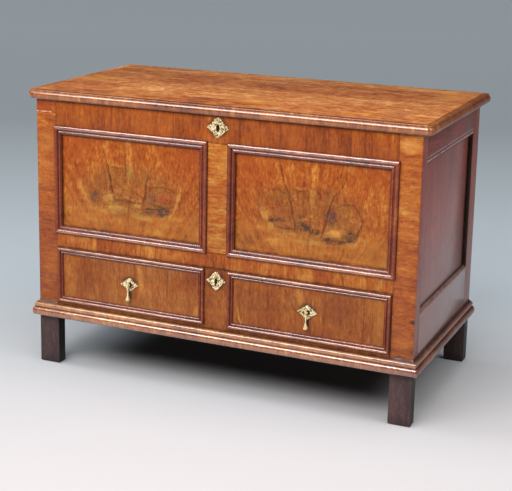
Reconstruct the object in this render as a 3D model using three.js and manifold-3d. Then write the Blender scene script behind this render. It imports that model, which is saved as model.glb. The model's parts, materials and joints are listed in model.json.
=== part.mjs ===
// A walnut mule chest: a hinged lid over a framed and panelled well, with one long drawer below.
// Millimetres, +Z up, X along the front, Y from the front to the back.
import * as THREE from "three";
import { mergeVertices } from "three/addons/utils/BufferGeometryUtils.js";
import Module from "manifold-3d";

const wasm = await Module();
wasm.setup();

// Driving dimensions of the carcase
const carcaseWidth = 1060;
const carcaseDepth = 540;
const carcaseHeight = 732;
const footHeight = 136;
const drawerOpeningHeight = 165;

// Clearances
const seam = 0.3;
const mergeDistance = 1e-4;
const cutOverrun = 4;

// Posts, which run down to the floor as the feet
const frontPostWidth = 58;
const frontPostDepth = 40;
const frontFootDepth = 32;
const rearPostWidth = 56;
const rearPostDepth = 60;
const rearFootDepth = 34;
const footChamfer = 3;

// Front frame
const frontRailThickness = 24;
const topRailHeight = 71;
const middleRailHeight = 41;
const bottomRailHeight = 35;
const muntinWidth = 64;
const tenonThickness = 8;
const tenonLength = 28;
const tenonSetback = 5;
const muntinTenonLength = 18;

// Panels
const panelThickness = 8;
const panelTongue = 8;
const frontPanelRecess = 4;
const sidePanelRecess = 9;

// Side frames
const sideRailThickness = 22;
const sideTopRailHeight = 81;
const sideBottomRailHeight = 155;
const sideTenonLength = 20;
const sideRailBevel = 7;

// Back
const backBoardThickness = 10;
const backBoardLap = 14;
const backRailHeight = 60;
const backRailThickness = 22;

// Well floor, the bearers under it and the runners that carry the drawer
const floorThickness = 12;
const floorAboveDrawer = 16;
const floorHousing = 7;
const bearerWidth = 54;
const bearerHeight = 15;
const runnerWidth = 62;
const runnerHeight = 22;
const guideHeight = 18;

// Raised moulding round each panel
const panelMouldingWidth = 17;
const panelMouldingProud = 7;
const mouldingFilletProud = 1.6;
const mouldingChannelProud = 2.4;
const mouldingInnerRibProud = 4.6;
const mouldingRibWidthShare = 0.54;
const mouldingChannelShare = 0.64;
const mouldingInnerRibShare = 0.88;

// Base moulding
const baseCavettoHeight = 7;
const baseCavettoReach = 8;
const baseFilletHeight = 2;
const baseBandHeight = 12;
const baseBandBulge = 3;
const baseTorusHeight = 21;
const baseTorusReach = 17;
const baseTorusRoot = 11;

// Lid
const lidThickness = 25;
const lidSideOverhang = 25;
const lidFrontOverhang = 12;
const lidRearOverhang = 10;
const lidEdgeWidth = 20;
const lidNoseHeight = 22;
const lidNoseReach = 8.5;
const lidNoseTurn = 0.8;
const lidLedgeReach = 4.2;

// Hinges
const hingeInset = 190;
const hingeWidth = 30;
const hingePlateThickness = 2.5;
const hingeStrapLength = 130;
const hingeStrapTip = 12;
const hingeLeafHeight = 42;
const knuckleRadius = 4.5;
const hingePinRadius = 2;
const hingePinEnd = 1.5;
const hingeClearance = 0.8;

// Locks
const lockWidth = 72;
const lockHeight = 46;
const lockWood = 10;
const lockDepth = 11;
const boltThickness = 3.2;
const keyholeDepth = 6;
const keyholeEyeRadius = 2.7;
const keyholeSlotWidth = 3;
const keyholeDrop = 9;
const lidKeyholeBelowTop = 27;
const drawerKeyholeBelowTop = 28.5;
const lidBoltHeight = 6;
const lidBoltLength = 24;
const lidBoltTravel = 9;
const stapleWidth = 3;
const stapleDepth = 8.4;
const stapleLength = 19;
const stapleWall = 2;
const stapleClearance = 0.8;
const haspLength = 58;
const haspWidth = 14;
const haspThickness = 2;
const drawerBoltWidth = 14;
const drawerBoltLength = 20;
const drawerBoltTravel = 8;
const boltMortiseSpare = 1.2;

// Escutcheons and pulls
const brassThickness = 1.4;
const lidEscutcheonWidth = 62;
const lidEscutcheonHeight = 53;
const drawerEscutcheonWidth = 54;
const drawerEscutcheonHeight = 50;
const piercingRadius = 1.3;
const pullPlateWidth = 54;
const pullPlateHeight = 37;
const pullShankRadius = 1.5;
const pullRingRadius = 3.4;
const pullWireRadius = 1.1;
const pullClinchLength = 16;
const dropLength = 44;
const dropNeckRadius = 1.8;
const dropBulbRadius = 6;

// Drawer
const drawerSideGap = 1.5;
const drawerTopGap = 1.5;
const drawerLift = 1;
const drawerFrontThickness = 22;
const drawerSideThickness = 12;
const drawerBackThickness = 12;
const drawerRearGap = 30;
const drawerSideHeight = 154;
const drawerBottomThickness = 8;
const drawerBottomRise = 9;
const drawerBottomTongue = 5.5;
const drawerMouldingMargin = 0.5;
const drawerMouldingTopMargin = 1.5;
const drawerMouldingLowMargin = 9;
const frontTailLength = 15;
const tailSlope = 2.5;
const tailCount = 3;
const tailWidthShare = 0.62;

// Facets of the round stretches
const roundSides = 24;
const arcSteps = 6;

// Heights and places worked out from the driving dimensions
const halfWidth = carcaseWidth / 2;
const frontInner = halfWidth - frontPostWidth;
const rearInner = halfWidth - rearPostWidth;
const sideBack = carcaseDepth - rearPostDepth;
const drawerFloor = footHeight + bottomRailHeight;
const drawerCeiling = drawerFloor + drawerOpeningHeight;
const middleRailTop = drawerCeiling + middleRailHeight;
const topRailBottom = carcaseHeight - topRailHeight;
const sideRailInner = halfWidth - sideRailThickness;
const sidePanelOuter = halfWidth - sidePanelRecess;
const sidePanelInner = sidePanelOuter - panelThickness;
const sideTopRailBottom = carcaseHeight - sideTopRailHeight;
const sideBottomRailTop = footHeight + sideBottomRailHeight;
const tenonShoulder = panelTongue + tenonSetback;
const floorBottom = drawerCeiling + floorAboveDrawer;
const floorTop = floorBottom + floorThickness;
const lidBottom = carcaseHeight + seam;
const lidTop = lidBottom + lidThickness;
const lidFront = -lidFrontOverhang;
const lidRear = carcaseDepth + lidRearOverhang;
const lidCoreHalf = halfWidth + lidSideOverhang - lidEdgeWidth;
const lidCoreFront = lidFront + lidEdgeWidth;
const backFace = carcaseDepth - backBoardThickness;
const strapBottom = lidBottom + seam;
const strapTop = strapBottom + hingePlateThickness;
const hingeAxisZ = (strapBottom + strapTop) / 2;
const hingeOffset = halfWidth - hingeInset;
const hingeAxisY = carcaseDepth + seam + knuckleRadius;
const lockFront = lockWood + seam;
const lockBack = lockWood + lockDepth;
const boltFront = (lockFront + lockBack - boltThickness) / 2;
const boltBack = boltFront + boltThickness;
const drawerHalf = frontInner - drawerSideGap;
const drawerLength = backFace - drawerRearGap;
const drawerBase = drawerFloor + drawerLift;
const drawerTop = drawerCeiling - drawerTopGap;
const drawerSideInner = drawerHalf - drawerSideThickness;
const drawerSideBase = drawerBase + seam;
const drawerSideTop = drawerSideBase + drawerSideHeight;
const drawerBottomZ = drawerBase + drawerBottomRise;

// Finishes
function finish(color, roughness, metalness = 0) {
  return new THREE.MeshStandardMaterial({ color, roughness, metalness });
}
const walnut = finish(0xb06a30, 0.35);
const figuredWalnut = finish(0xa8682e, 0.35);
const mouldingWalnut = finish(0x7a4238, 0.4);
const sideWalnut = finish(0x6d4a42, 0.45);
const topWalnut = finish(0xb98050, 0.4);
const darkOak = finish(0x463a34, 0.7);
const plainOak = finish(0x9a7a52, 0.75);
const brass = finish(0xc8b46e, 0.35, 1);
const iron = finish(0x4a4744, 0.6, 1);

// A closed geometry as a solid that can be joined and cut
function solid(geometry) {
  const bare = geometry.clone();
  bare.deleteAttribute("normal");
  bare.deleteAttribute("uv");
  const merged = mergeVertices(bare, mergeDistance);
  return new wasm.Manifold(
    new wasm.Mesh({
      numProp: 3,
      vertProperties: merged.getAttribute("position").array,
      triVerts: new Uint32Array(merged.index.array),
    }),
  );
}

// The geometry of a solid
function surface(body) {
  const { vertProperties, triVerts } = body.getMesh();
  const geometry = new THREE.BufferGeometry();
  geometry.setAttribute("position", new THREE.BufferAttribute(vertProperties, 3));
  geometry.setIndex(new THREE.BufferAttribute(triVerts, 1));
  geometry.computeVertexNormals();
  return geometry;
}

// Extents are x, y and z ranges in one list: x0, x1, y0, y1, z0, z1
function block(x0, x1, y0, y1, z0, z1) {
  const geometry = new THREE.BoxGeometry(x1 - x0, y1 - y0, z1 - z0);
  geometry.translate((x0 + x1) / 2, (y0 + y1) / 2, (z0 + z1) / 2);
  return solid(geometry);
}

function grown(extents, by) {
  return extents.map((value, i) => (i % 2 ? value + by : value - by));
}

function mirrored([x0, x1, ...rest]) {
  return [-x1, -x0, ...rest];
}

function joinAll(first, ...others) {
  return others.reduce((body, other) => body.add(other), first);
}

function cutAll(first, ...others) {
  return others.reduce((body, other) => body.subtract(other), first);
}

// Prisms of an outline, extruded along each axis in turn
function extruded(points, length) {
  const shape = new THREE.Shape(points.map(([a, b]) => new THREE.Vector2(a, b)));
  return new THREE.ExtrudeGeometry(shape, { depth: length, bevelEnabled: false });
}

function turned(geometry, xAxis, yAxis, zAxis) {
  const axes = [xAxis, yAxis, zAxis].map((axis) => new THREE.Vector3(...axis));
  return geometry.applyMatrix4(new THREE.Matrix4().makeBasis(...axes));
}

function prismX(points, x0, x1) {
  const geometry = turned(extruded(points, x1 - x0), [0, 1, 0], [0, 0, 1], [1, 0, 0]);
  return solid(geometry.translate(x0, 0, 0));
}

function prismY(points, y0, y1) {
  const geometry = turned(extruded(points, y1 - y0), [1, 0, 0], [0, 0, 1], [0, -1, 0]);
  return solid(geometry.translate(0, y1, 0));
}

function prismZ(points, z0, z1) {
  return solid(extruded(points, z1 - z0).translate(0, 0, z0));
}

function rodX(radius, x0, x1, y, z) {
  const geometry = new THREE.CylinderGeometry(radius, radius, x1 - x0, roundSides);
  return solid(geometry.rotateZ(-Math.PI / 2).translate((x0 + x1) / 2, y, z));
}

function rodY(radius, y0, y1, x, z) {
  const geometry = new THREE.CylinderGeometry(radius, radius, y1 - y0, roundSides);
  return solid(geometry.translate(x, (y0 + y1) / 2, z));
}

// Points of an elliptical arc, both ends included; angles in quarter turns
function arc(centreA, centreB, radiusA, radiusB, from, to) {
  return Array.from({ length: arcSteps + 1 }, (_, i) => {
    const angle = ((from + ((to - from) * i) / arcSteps) * Math.PI) / 2;
    return [centreA + radiusA * Math.cos(angle), centreB + radiusB * Math.sin(angle)];
  });
}

// A length of moulding along X. Its profile is reach, out towards -Y, against height,
// and a mitred end grows or shrinks with the reach.
function mouldingBar(profile, x0, x1, mitre0, mitre1) {
  const geometry = turned(extruded(profile, 1), [0, -1, 0], [0, 0, 1], [-1, 0, 0]);
  const place = geometry.getAttribute("position");
  for (let i = 0; i < place.count; i += 1) {
    const reach = -place.getY(i);
    const atEnd = place.getX(i) < -1 / 2;
    place.setX(i, atEnd ? x0 - reach * mitre0 : x1 + reach * mitre1);
  }
  return solid(geometry);
}

// A mitred frame of moulding in the plane of the front. Its profile is distance inwards
// against height above the ground, which faces -Y.
function mouldingFrame(profile, x0, x1, z0, z1) {
  const corners = [
    [x0, z0, 1, 1],
    [x1, z0, -1, 1],
    [x1, z1, -1, -1],
    [x0, z1, 1, -1],
  ];
  const count = profile.length;
  const places = [];
  const faces = [];
  corners.forEach(([x, z, inX, inZ], corner) => {
    profile.forEach(([inward, height], i) => {
      places.push(x + inward * inX, -height, z + inward * inZ);
      const next = (i + 1) % count;
      const here = corner * count;
      const there = ((corner + 1) % corners.length) * count;
      faces.push(here + i, there + i, there + next);
      faces.push(here + i, there + next, here + next);
    });
  });
  const geometry = new THREE.BufferGeometry();
  geometry.setAttribute("position", new THREE.Float32BufferAttribute(places, 3));
  geometry.setIndex(faces);
  return solid(geometry);
}

// The chest, and the sub-assemblies that move in it
const chest = new THREE.Group();
const carcase = new THREE.Group();
const lid = new THREE.Group();
const drawer = new THREE.Group();
chest.add(carcase, lid, drawer);
chest.position.y = (baseTorusReach + seam - lidRear) / 2;

function addPiece(group, name, body, material) {
  const mesh = new THREE.Mesh(surface(body), material);
  mesh.name = name;
  group.add(mesh);
  return mesh;
}

// A right-hand piece and its mirror image
function addPair(group, name, body, material) {
  addPiece(group, name + "_right", body, material);
  addPiece(group, name + "_left", body, material).scale.x = -1;
}

// Tenons of the rails, on the right-hand or the rear end
const frontTenonY = (frontRailThickness - tenonThickness) / 2;
function frontRailTenon(z0, z1) {
  const reach = frontInner + tenonLength;
  return [frontInner - cutOverrun, reach, frontTenonY, frontTenonY + tenonThickness, z0, z1];
}
const topTenon = frontRailTenon(topRailBottom + tenonShoulder, carcaseHeight - tenonShoulder);
const middleTenon = frontRailTenon(drawerCeiling + tenonSetback, middleRailTop - tenonShoulder);
const bottomTenon = frontRailTenon(footHeight + tenonSetback, drawerFloor - tenonSetback);

const sideTenonX = halfWidth - (sideRailThickness - tenonThickness) / 2 - tenonThickness;
function sideRailTenons(z0, z1) {
  const across = [sideTenonX, sideTenonX + tenonThickness];
  return {
    front: [...across, frontPostDepth - sideTenonLength, frontPostDepth + cutOverrun, z0, z1],
    rear: [...across, sideBack - cutOverrun, sideBack + sideTenonLength, z0, z1],
  };
}
const sideTopTenons = sideRailTenons(
  sideTopRailBottom + tenonShoulder,
  carcaseHeight - tenonShoulder,
);
const sideBottomTenons = sideRailTenons(
  footHeight + tenonSetback,
  sideBottomRailTop - tenonShoulder,
);

const backRailFront = backFace - seam - backRailThickness;
const backTenonY = backRailFront + (backRailThickness - tenonThickness) / 2;
const backTenon = [
  rearInner - cutOverrun,
  rearInner + tenonLength,
  backTenonY,
  backTenonY + tenonThickness,
  carcaseHeight - backRailHeight + tenonSetback,
  carcaseHeight - tenonShoulder,
];

// Panels, which float in grooves
const frontPanel = [
  muntinWidth / 2 - panelTongue,
  frontInner + panelTongue,
  frontPanelRecess,
  frontPanelRecess + panelThickness,
  middleRailTop - panelTongue,
  topRailBottom + panelTongue,
];
const sidePanel = [
  sidePanelInner,
  sidePanelOuter,
  frontPostDepth - panelTongue,
  sideBack + panelTongue,
  sideBottomRailTop - panelTongue,
  sideTopRailBottom + panelTongue,
];
const frontPanelGroove = block(...grown(frontPanel, seam));
const frontPanelGrooveLeft = block(...mirrored(grown(frontPanel, seam)));
const sidePanelGroove = block(...grown(sidePanel, seam));

const frontPost = [frontInner, halfWidth, 0, frontPostDepth, 0, carcaseHeight];
const rearPost = [rearInner, halfWidth, sideBack, carcaseDepth, 0, carcaseHeight];

// A cutter that takes the arris off all four lower edges of a foot
function footChamfers(x0, x1, y0, y1) {
  const cut = footChamfer + cutOverrun;
  const wedge = (edge, inward) => [
    [edge - inward * cutOverrun, -cutOverrun],
    [edge + inward * (footChamfer + cutOverrun), -cutOverrun],
    [edge - inward * cutOverrun, cut],
  ];
  return [
    prismX(wedge(y0, 1), x0 - cutOverrun, x1 + cutOverrun),
    prismX(wedge(y1, -1), x0 - cutOverrun, x1 + cutOverrun),
    prismY(wedge(x0, 1), y0 - cutOverrun, y1 + cutOverrun),
    prismY(wedge(x1, -1), y0 - cutOverrun, y1 + cutOverrun),
  ];
}

function addPosts() {
  const underCarcase = [-cutOverrun, footHeight];
  const frontFootCut = block(
    frontInner - cutOverrun,
    halfWidth + cutOverrun,
    frontFootDepth,
    frontPostDepth + cutOverrun,
    ...underCarcase,
  );
  const rearFootCut = block(
    rearInner - cutOverrun,
    halfWidth + cutOverrun,
    sideBack - cutOverrun,
    carcaseDepth - rearFootDepth,
    ...underCarcase,
  );
  const backRebate = block(
    rearInner - cutOverrun,
    rearInner + backBoardLap,
    backFace - seam,
    carcaseDepth + cutOverrun,
    footHeight,
    carcaseHeight + cutOverrun,
  );
  const tenons = [topTenon, middleTenon, bottomTenon, sideTopTenons.front, sideBottomTenons.front];
  const front = cutAll(
    block(...frontPost),
    frontFootCut,
    frontPanelGroove,
    sidePanelGroove,
    ...tenons.map((tenon) => block(...grown(tenon, seam))),
    ...footChamfers(frontInner, halfWidth, 0, frontFootDepth),
  );
  const rearTenons = [backTenon, sideTopTenons.rear, sideBottomTenons.rear];
  const rear = cutAll(
    block(...rearPost),
    rearFootCut,
    backRebate,
    sidePanelGroove,
    ...rearTenons.map((tenon) => block(...grown(tenon, seam))),
    ...footChamfers(rearInner, halfWidth, carcaseDepth - rearFootDepth, carcaseDepth),
  );
  addPair(carcase, "post_front", front, darkOak);
  addPair(carcase, "post_rear", rear, darkOak);
}

// A keyhole through whatever lies between two depths
function keyhole(y0, y1, eyeZ) {
  const half = keyholeSlotWidth / 2;
  const slot = block(-half, half, y0, y1, eyeZ - keyholeDrop, eyeZ);
  return rodY(keyholeEyeRadius, y0, y1, 0, eyeZ).add(slot);
}

// The pocket that a lock is let into, open at the top edge and at the back
function lockPocket(top, back) {
  return block(
    -lockWidth / 2,
    lockWidth / 2,
    lockWood,
    back + cutOverrun,
    top - lockHeight,
    top + cutOverrun,
  );
}

function frontRail(z0, z1, tenon) {
  const reach = frontInner - seam;
  const bar = block(-reach, reach, 0, frontRailThickness, z0, z1);
  return joinAll(bar, block(...tenon), block(...mirrored(tenon)));
}

const muntinTenonHalf = muntinWidth / 2 - tenonShoulder;
const muntinTenon = [
  -muntinTenonHalf,
  muntinTenonHalf,
  frontTenonY,
  frontTenonY + tenonThickness,
  middleRailTop - muntinTenonLength,
  topRailBottom + muntinTenonLength,
];
const lidKeyholeZ = carcaseHeight - lidKeyholeBelowTop;
const drawerKeyholeZ = drawerTop - drawerKeyholeBelowTop;

function addFrontFrame() {
  const muntinMortise = block(...grown(muntinTenon, seam));
  const top = cutAll(
    frontRail(topRailBottom, carcaseHeight, topTenon),
    frontPanelGroove,
    frontPanelGrooveLeft,
    muntinMortise,
    lockPocket(carcaseHeight, frontRailThickness),
    keyhole(-cutOverrun, lockWood + cutOverrun, lidKeyholeZ),
  );
  addPiece(carcase, "rail_front_top", top, walnut);

  const boltHalf = drawerBoltWidth / 2 + boltMortiseSpare;
  const boltMortise = block(
    -boltHalf,
    boltHalf,
    boltFront - boltMortiseSpare,
    boltBack + boltMortiseSpare,
    drawerCeiling - cutOverrun,
    drawerTop + drawerBoltTravel + boltMortiseSpare,
  );
  const floorGroove = block(
    -halfWidth,
    halfWidth,
    frontRailThickness - floorHousing,
    frontRailThickness + cutOverrun,
    floorBottom - seam,
    floorTop + seam,
  );
  const middle = cutAll(
    frontRail(drawerCeiling, middleRailTop, middleTenon),
    frontPanelGroove,
    frontPanelGrooveLeft,
    muntinMortise,
    boltMortise,
    floorGroove,
  );
  addPiece(carcase, "rail_front_middle", middle, walnut);
  addPiece(carcase, "rail_front_bottom", frontRail(footHeight, drawerFloor, bottomTenon), plainOak);

  const half = muntinWidth / 2;
  const stick = block(
    -half,
    half,
    0,
    frontRailThickness,
    middleRailTop + seam,
    topRailBottom - seam,
  );
  const muntin = cutAll(
    stick.add(block(...muntinTenon)),
    frontPanelGroove,
    frontPanelGrooveLeft,
  );
  addPiece(carcase, "muntin_front", muntin, walnut);
  addPair(carcase, "panel_front", block(...frontPanel), figuredWalnut);
}

// The side rails carry a bevel along the edge that meets the panel
function sideRail(z0, z1, tenons, bevelZ, bevelSide) {
  const y0 = frontPostDepth + seam;
  const y1 = sideBack - seam;
  const edge = halfWidth - sideRailBevel;
  const reach = sideRailBevel + cutOverrun;
  const bevel = [
    [halfWidth + cutOverrun, bevelZ + bevelSide * cutOverrun],
    [halfWidth + cutOverrun, bevelZ - bevelSide * reach],
    [edge - cutOverrun, bevelZ + bevelSide * cutOverrun],
  ];
  const rail = joinAll(
    block(sideRailInner, halfWidth, y0, y1, z0, z1),
    block(...tenons.front),
    block(...tenons.rear),
  );
  return cutAll(rail, sidePanelGroove, prismY(bevel, y0, y1));
}

function addSides() {
  const top = sideRail(sideTopRailBottom, carcaseHeight, sideTopTenons, sideTopRailBottom, -1);
  const bottom = sideRail(footHeight, sideBottomRailTop, sideBottomTenons, sideBottomRailTop, 1);
  addPair(carcase, "rail_side_top", top, sideWalnut);
  addPair(carcase, "rail_side_bottom", bottom, sideWalnut);
  addPair(carcase, "panel_side", block(...sidePanel), sideWalnut);
}

function addBack() {
  const reach = rearInner - seam;
  const bar = block(
    -reach,
    reach,
    backRailFront,
    backFace - seam,
    carcaseHeight - backRailHeight,
    carcaseHeight,
  );
  const rail = joinAll(bar, block(...backTenon), block(...mirrored(backTenon)));
  addPiece(carcase, "rail_back_top", rail, plainOak);

  const boardReach = rearInner + backBoardLap - seam;
  const middle = (footHeight + carcaseHeight) / 2;
  const levels = { back_board_lower: [footHeight, middle], back_board_upper: [middle, carcaseHeight] };
  for (const [name, [z0, z1]] of Object.entries(levels)) {
    const low = z0 === middle ? z0 + seam : z0;
    const board = block(-boardReach, boardReach, backFace, carcaseDepth, low, z1);
    addPiece(carcase, name, board, plainOak);
  }
}

// The floor of the well is notched round the posts, as are the drawer runners
function addWellAndRunners() {
  const reach = sidePanelInner - seam;
  const posts = [frontPost, rearPost].flatMap((post) => [post, mirrored(post)]);
  const board = block(
    -reach,
    reach,
    frontRailThickness - floorHousing + seam,
    backFace - seam,
    floorBottom,
    floorTop,
  );
  const floor = cutAll(board, ...posts.map((post) => block(...grown(post, seam))));
  addPiece(carcase, "well_floor", floor, plainOak);

  const bearer = block(
    reach - bearerWidth,
    reach,
    frontPostDepth + seam,
    sideBack - seam,
    floorBottom - seam - bearerHeight,
    floorBottom - seam,
  );
  addPair(carcase, "floor_bearer", bearer, plainOak);

  const outer = sideRailInner - seam;
  const guide = frontInner + seam;
  const runnerTop = drawerSideBase - seam;
  const section = [
    [outer - runnerWidth, runnerTop - runnerHeight],
    [outer, runnerTop - runnerHeight],
    [outer, runnerTop + guideHeight],
    [guide, runnerTop + guideHeight],
    [guide, runnerTop],
    [outer - runnerWidth, runnerTop],
  ];
  const runner = cutAll(
    prismY(section, frontRailThickness + seam, sideBack - seam),
    block(...grown(frontPost, seam)),
  );
  addPair(carcase, "drawer_runner", runner, plainOak);
}

// Section of the raised mouldings: a broad rib outside, a channel, a small rib and a fillet
function panelMouldingProfile(ground) {
  const ribEnd = panelMouldingWidth * mouldingRibWidthShare;
  const channelEnd = panelMouldingWidth * mouldingChannelShare;
  const innerRibEnd = panelMouldingWidth * mouldingInnerRibShare;
  const ribFoot = mouldingFilletProud;
  return [
    [0, -ground],
    ...arc(ribEnd / 2, ribFoot, ribEnd / 2, panelMouldingProud - ribFoot, 2, 0),
    [ribEnd, mouldingChannelProud],
    [channelEnd, mouldingChannelProud],
    ...arc(
      (channelEnd + innerRibEnd) / 2,
      mouldingChannelProud,
      (innerRibEnd - channelEnd) / 2,
      mouldingInnerRibProud - mouldingChannelProud,
      2,
      0,
    ).slice(1),
    [innerRibEnd, mouldingFilletProud],
    [panelMouldingWidth, mouldingFilletProud],
    [panelMouldingWidth, -ground],
  ];
}

function addPanelMouldings() {
  const ground = frontPanelRecess - seam;
  const frame = mouldingFrame(
    panelMouldingProfile(ground),
    muntinWidth / 2 + seam,
    frontInner - seam,
    middleRailTop + seam,
    topRailBottom - seam,
  );
  addPair(carcase, "panel_moulding", frame, mouldingWalnut);
}

// Section of the base moulding, from the top edge down: cavetto, fillet, bulging band, torus
function baseProfile() {
  const cavettoBottom = -baseCavettoHeight;
  const bandTop = cavettoBottom - baseFilletHeight;
  const bandBottom = bandTop - baseBandHeight;
  const torusMiddle = bandBottom - baseTorusHeight / 2;
  const torusBulge = baseTorusReach - baseTorusRoot;
  return [
    [seam, 0],
    ...arc(baseCavettoReach + seam, 0, baseCavettoReach, baseCavettoHeight, 2, 3).slice(1),
    [baseCavettoReach + seam, bandTop],
    ...arc(
      baseCavettoReach + seam,
      (bandTop + bandBottom) / 2,
      baseBandBulge,
      baseBandHeight / 2,
      1,
      -1,
    ).slice(1),
    ...arc(baseTorusRoot + seam, torusMiddle, torusBulge, baseTorusHeight / 2, 1, -1),
    [seam, torusMiddle - baseTorusHeight / 2],
  ].reverse();
}

function addBaseMoulding() {
  const profile = baseProfile();
  const height = baseCavettoHeight + baseFilletHeight + baseBandHeight + baseTorusHeight;
  const top = footHeight + height;
  const place = (bar) => solid(surface(bar).translate(0, 0, top));
  const bar = place(mouldingBar(profile, seam - halfWidth, halfWidth - seam, 1, 1));
  const drawerWay = block(
    -frontInner,
    frontInner,
    -baseTorusReach - cutOverrun,
    cutOverrun,
    Math.min(drawerFloor, top - baseCavettoHeight),
    top + cutOverrun,
  );
  addPiece(carcase, "base_moulding_front", bar.subtract(drawerWay), mouldingWalnut);

  const side = mouldingBar(profile, seam, carcaseDepth, 1, 0);
  const turnedSide = solid(surface(side).rotateZ(Math.PI / 2).translate(halfWidth, 0, top));
  addPair(carcase, "base_moulding", turnedSide, mouldingWalnut);
}

// Section of the lid's edge, outwards from the board: a half-round nose under a narrow ledge
function lidEdgeProfile() {
  const root = lidEdgeWidth - lidNoseReach;
  const noseHalf = lidNoseHeight / 2;
  const nose = [
    ...arc(root, noseHalf, lidNoseReach, noseHalf, -1, 0),
    ...arc(root, noseHalf, lidNoseReach, noseHalf, 0, lidNoseTurn).slice(1),
  ];
  const noseTop = nose[nose.length - 1][1];
  const ledge = root + lidLedgeReach;
  return [[0, 0], ...nose, [ledge, noseTop], [ledge, lidThickness], [0, lidThickness]];
}

// Plan of a hinge strap, grown by a margin for its pocket
function strapOutline(margin) {
  const half = hingeWidth / 2 + margin;
  const rear = hingeAxisY - knuckleRadius - hingeClearance;
  const tip = rear - hingeStrapLength - margin;
  return [
    [-half, rear],
    [-half / 2, tip + hingeStrapTip],
    [0, tip],
    [half / 2, tip + hingeStrapTip],
    [half, rear],
  ];
}

const knuckleLength = hingeWidth / 3 - seam;
const stapleY = (boltFront + boltBack - stapleDepth) / 2;
const haspY = stapleY + (stapleDepth - haspWidth) / 2;
const lidBoltZ = lidBottom - stapleLength + stapleWall + seam;

function addLid() {
  const profile = lidEdgeProfile();
  const edgeReach = lidCoreHalf - seam;
  const front = mouldingBar(profile, -edgeReach, edgeReach, 1, 1);
  const frontPlaced = solid(surface(front).translate(0, lidCoreFront, lidBottom));
  addPiece(lid, "lid_edge_front", frontPlaced, topWalnut);
  const side = mouldingBar(profile, lidCoreFront + seam, lidRear, 1, 0);
  const sidePlaced = solid(surface(side).rotateZ(Math.PI / 2).translate(lidCoreHalf, 0, lidBottom));
  addPair(lid, "lid_edge", sidePlaced, topWalnut);

  const pocketTop = strapTop + seam;
  const pocket = (x) => {
    const plan = strapOutline(seam).map(([a, b]) => [a + x, b]);
    return prismZ(plan, lidBottom - cutOverrun, pocketTop);
  };
  const notch = (x) => {
    const half = hingeWidth / 2 + hingePinEnd + hingeClearance;
    const notchFront = hingeAxisY - knuckleRadius - hingeClearance - seam;
    const notchTop = hingeAxisZ + knuckleRadius + hingeClearance;
    return block(
      x - half,
      x + half,
      notchFront,
      lidRear + cutOverrun,
      lidBottom - cutOverrun,
      notchTop,
    );
  };
  const haspPocket = block(
    -haspLength / 2 - seam,
    haspLength / 2 + seam,
    haspY - seam,
    haspY + haspWidth + seam,
    lidBottom - cutOverrun,
    lidBottom + haspThickness + seam,
  );
  const coreReach = lidCoreHalf - seam;
  const board = cutAll(
    block(-coreReach, coreReach, lidCoreFront + seam, lidRear, lidBottom, lidTop),
    ...[-hingeOffset, hingeOffset].flatMap((x) => [pocket(x), notch(x)]),
    haspPocket,
  );
  addPiece(lid, "lid_board", board, topWalnut);

  const plate = block(
    -haspLength / 2,
    haspLength / 2,
    haspY,
    haspY + haspWidth,
    lidBottom,
    lidBottom + haspThickness,
  );
  const staple = block(
    -stapleWidth / 2,
    stapleWidth / 2,
    stapleY,
    stapleY + stapleDepth,
    lidBottom - stapleLength,
    lidBottom + haspThickness,
  );
  const eye = block(
    -stapleWidth,
    stapleWidth,
    boltFront - seam,
    boltBack + seam,
    lidBoltZ - seam,
    lidBoltZ + lidBoltHeight + seam,
  );
  addPiece(lid, "lid_hasp_plate", plate.add(staple).subtract(eye), iron);
}

// Three knuckles on one pin: the leaf on the back has the outer two, the lid's strap the middle one
function addHinges() {
  const half = hingeWidth / 2;
  const middleHalf = knuckleLength / 2;
  const bore = rodX(hingePinRadius + seam, -hingeWidth, hingeWidth, hingeAxisY, hingeAxisZ);
  const rear = hingeAxisY - knuckleRadius - hingeClearance;
  const strap = cutAll(
    joinAll(
      prismZ(strapOutline(0), strapBottom, strapTop),
      block(-middleHalf, middleHalf, rear - cutOverrun, hingeAxisY, strapBottom, strapTop),
      rodX(knuckleRadius, -middleHalf, middleHalf, hingeAxisY, hingeAxisZ),
    ),
    bore,
  );
  const outerStart = middleHalf + seam;
  const leafTop = hingeAxisZ;
  const leaf = cutAll(
    joinAll(
      block(
        -half,
        half,
        carcaseDepth + seam,
        carcaseDepth + seam + hingePlateThickness,
        leafTop - hingeLeafHeight,
        leafTop,
      ),
      rodX(knuckleRadius, outerStart, half, hingeAxisY, hingeAxisZ),
      rodX(knuckleRadius, -half, -outerStart, hingeAxisY, hingeAxisZ),
    ),
    block(
      -outerStart,
      outerStart,
      carcaseDepth,
      hingeAxisY + knuckleRadius + cutOverrun,
      hingeAxisZ - knuckleRadius - hingeClearance,
      leafTop + cutOverrun,
    ),
    bore,
  );
  const pinReach = half + hingePinEnd;
  const pin = rodX(hingePinRadius, -pinReach, pinReach, hingeAxisY, hingeAxisZ);
  for (const [side, x] of [["left", -hingeOffset], ["right", hingeOffset]]) {
    addPiece(lid, "hinge_strap_" + side, strap, iron).position.x = x;
    addPiece(carcase, "hinge_leaf_" + side, leaf, iron).position.x = x;
    addPiece(carcase, "hinge_pin_" + side, pin, iron).position.x = x;
  }
}

// A box lock let into the back of a board: its case fills the pocket
function lockCase(top, eyeZ, ...ways) {
  const reach = lockWidth / 2 - seam;
  const body = block(-reach, reach, lockFront, lockBack, top - lockHeight + seam, top - seam);
  const keyWay = keyhole(lockFront - cutOverrun, lockFront + keyholeDepth, eyeZ);
  return cutAll(body, keyWay, ...ways);
}

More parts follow.
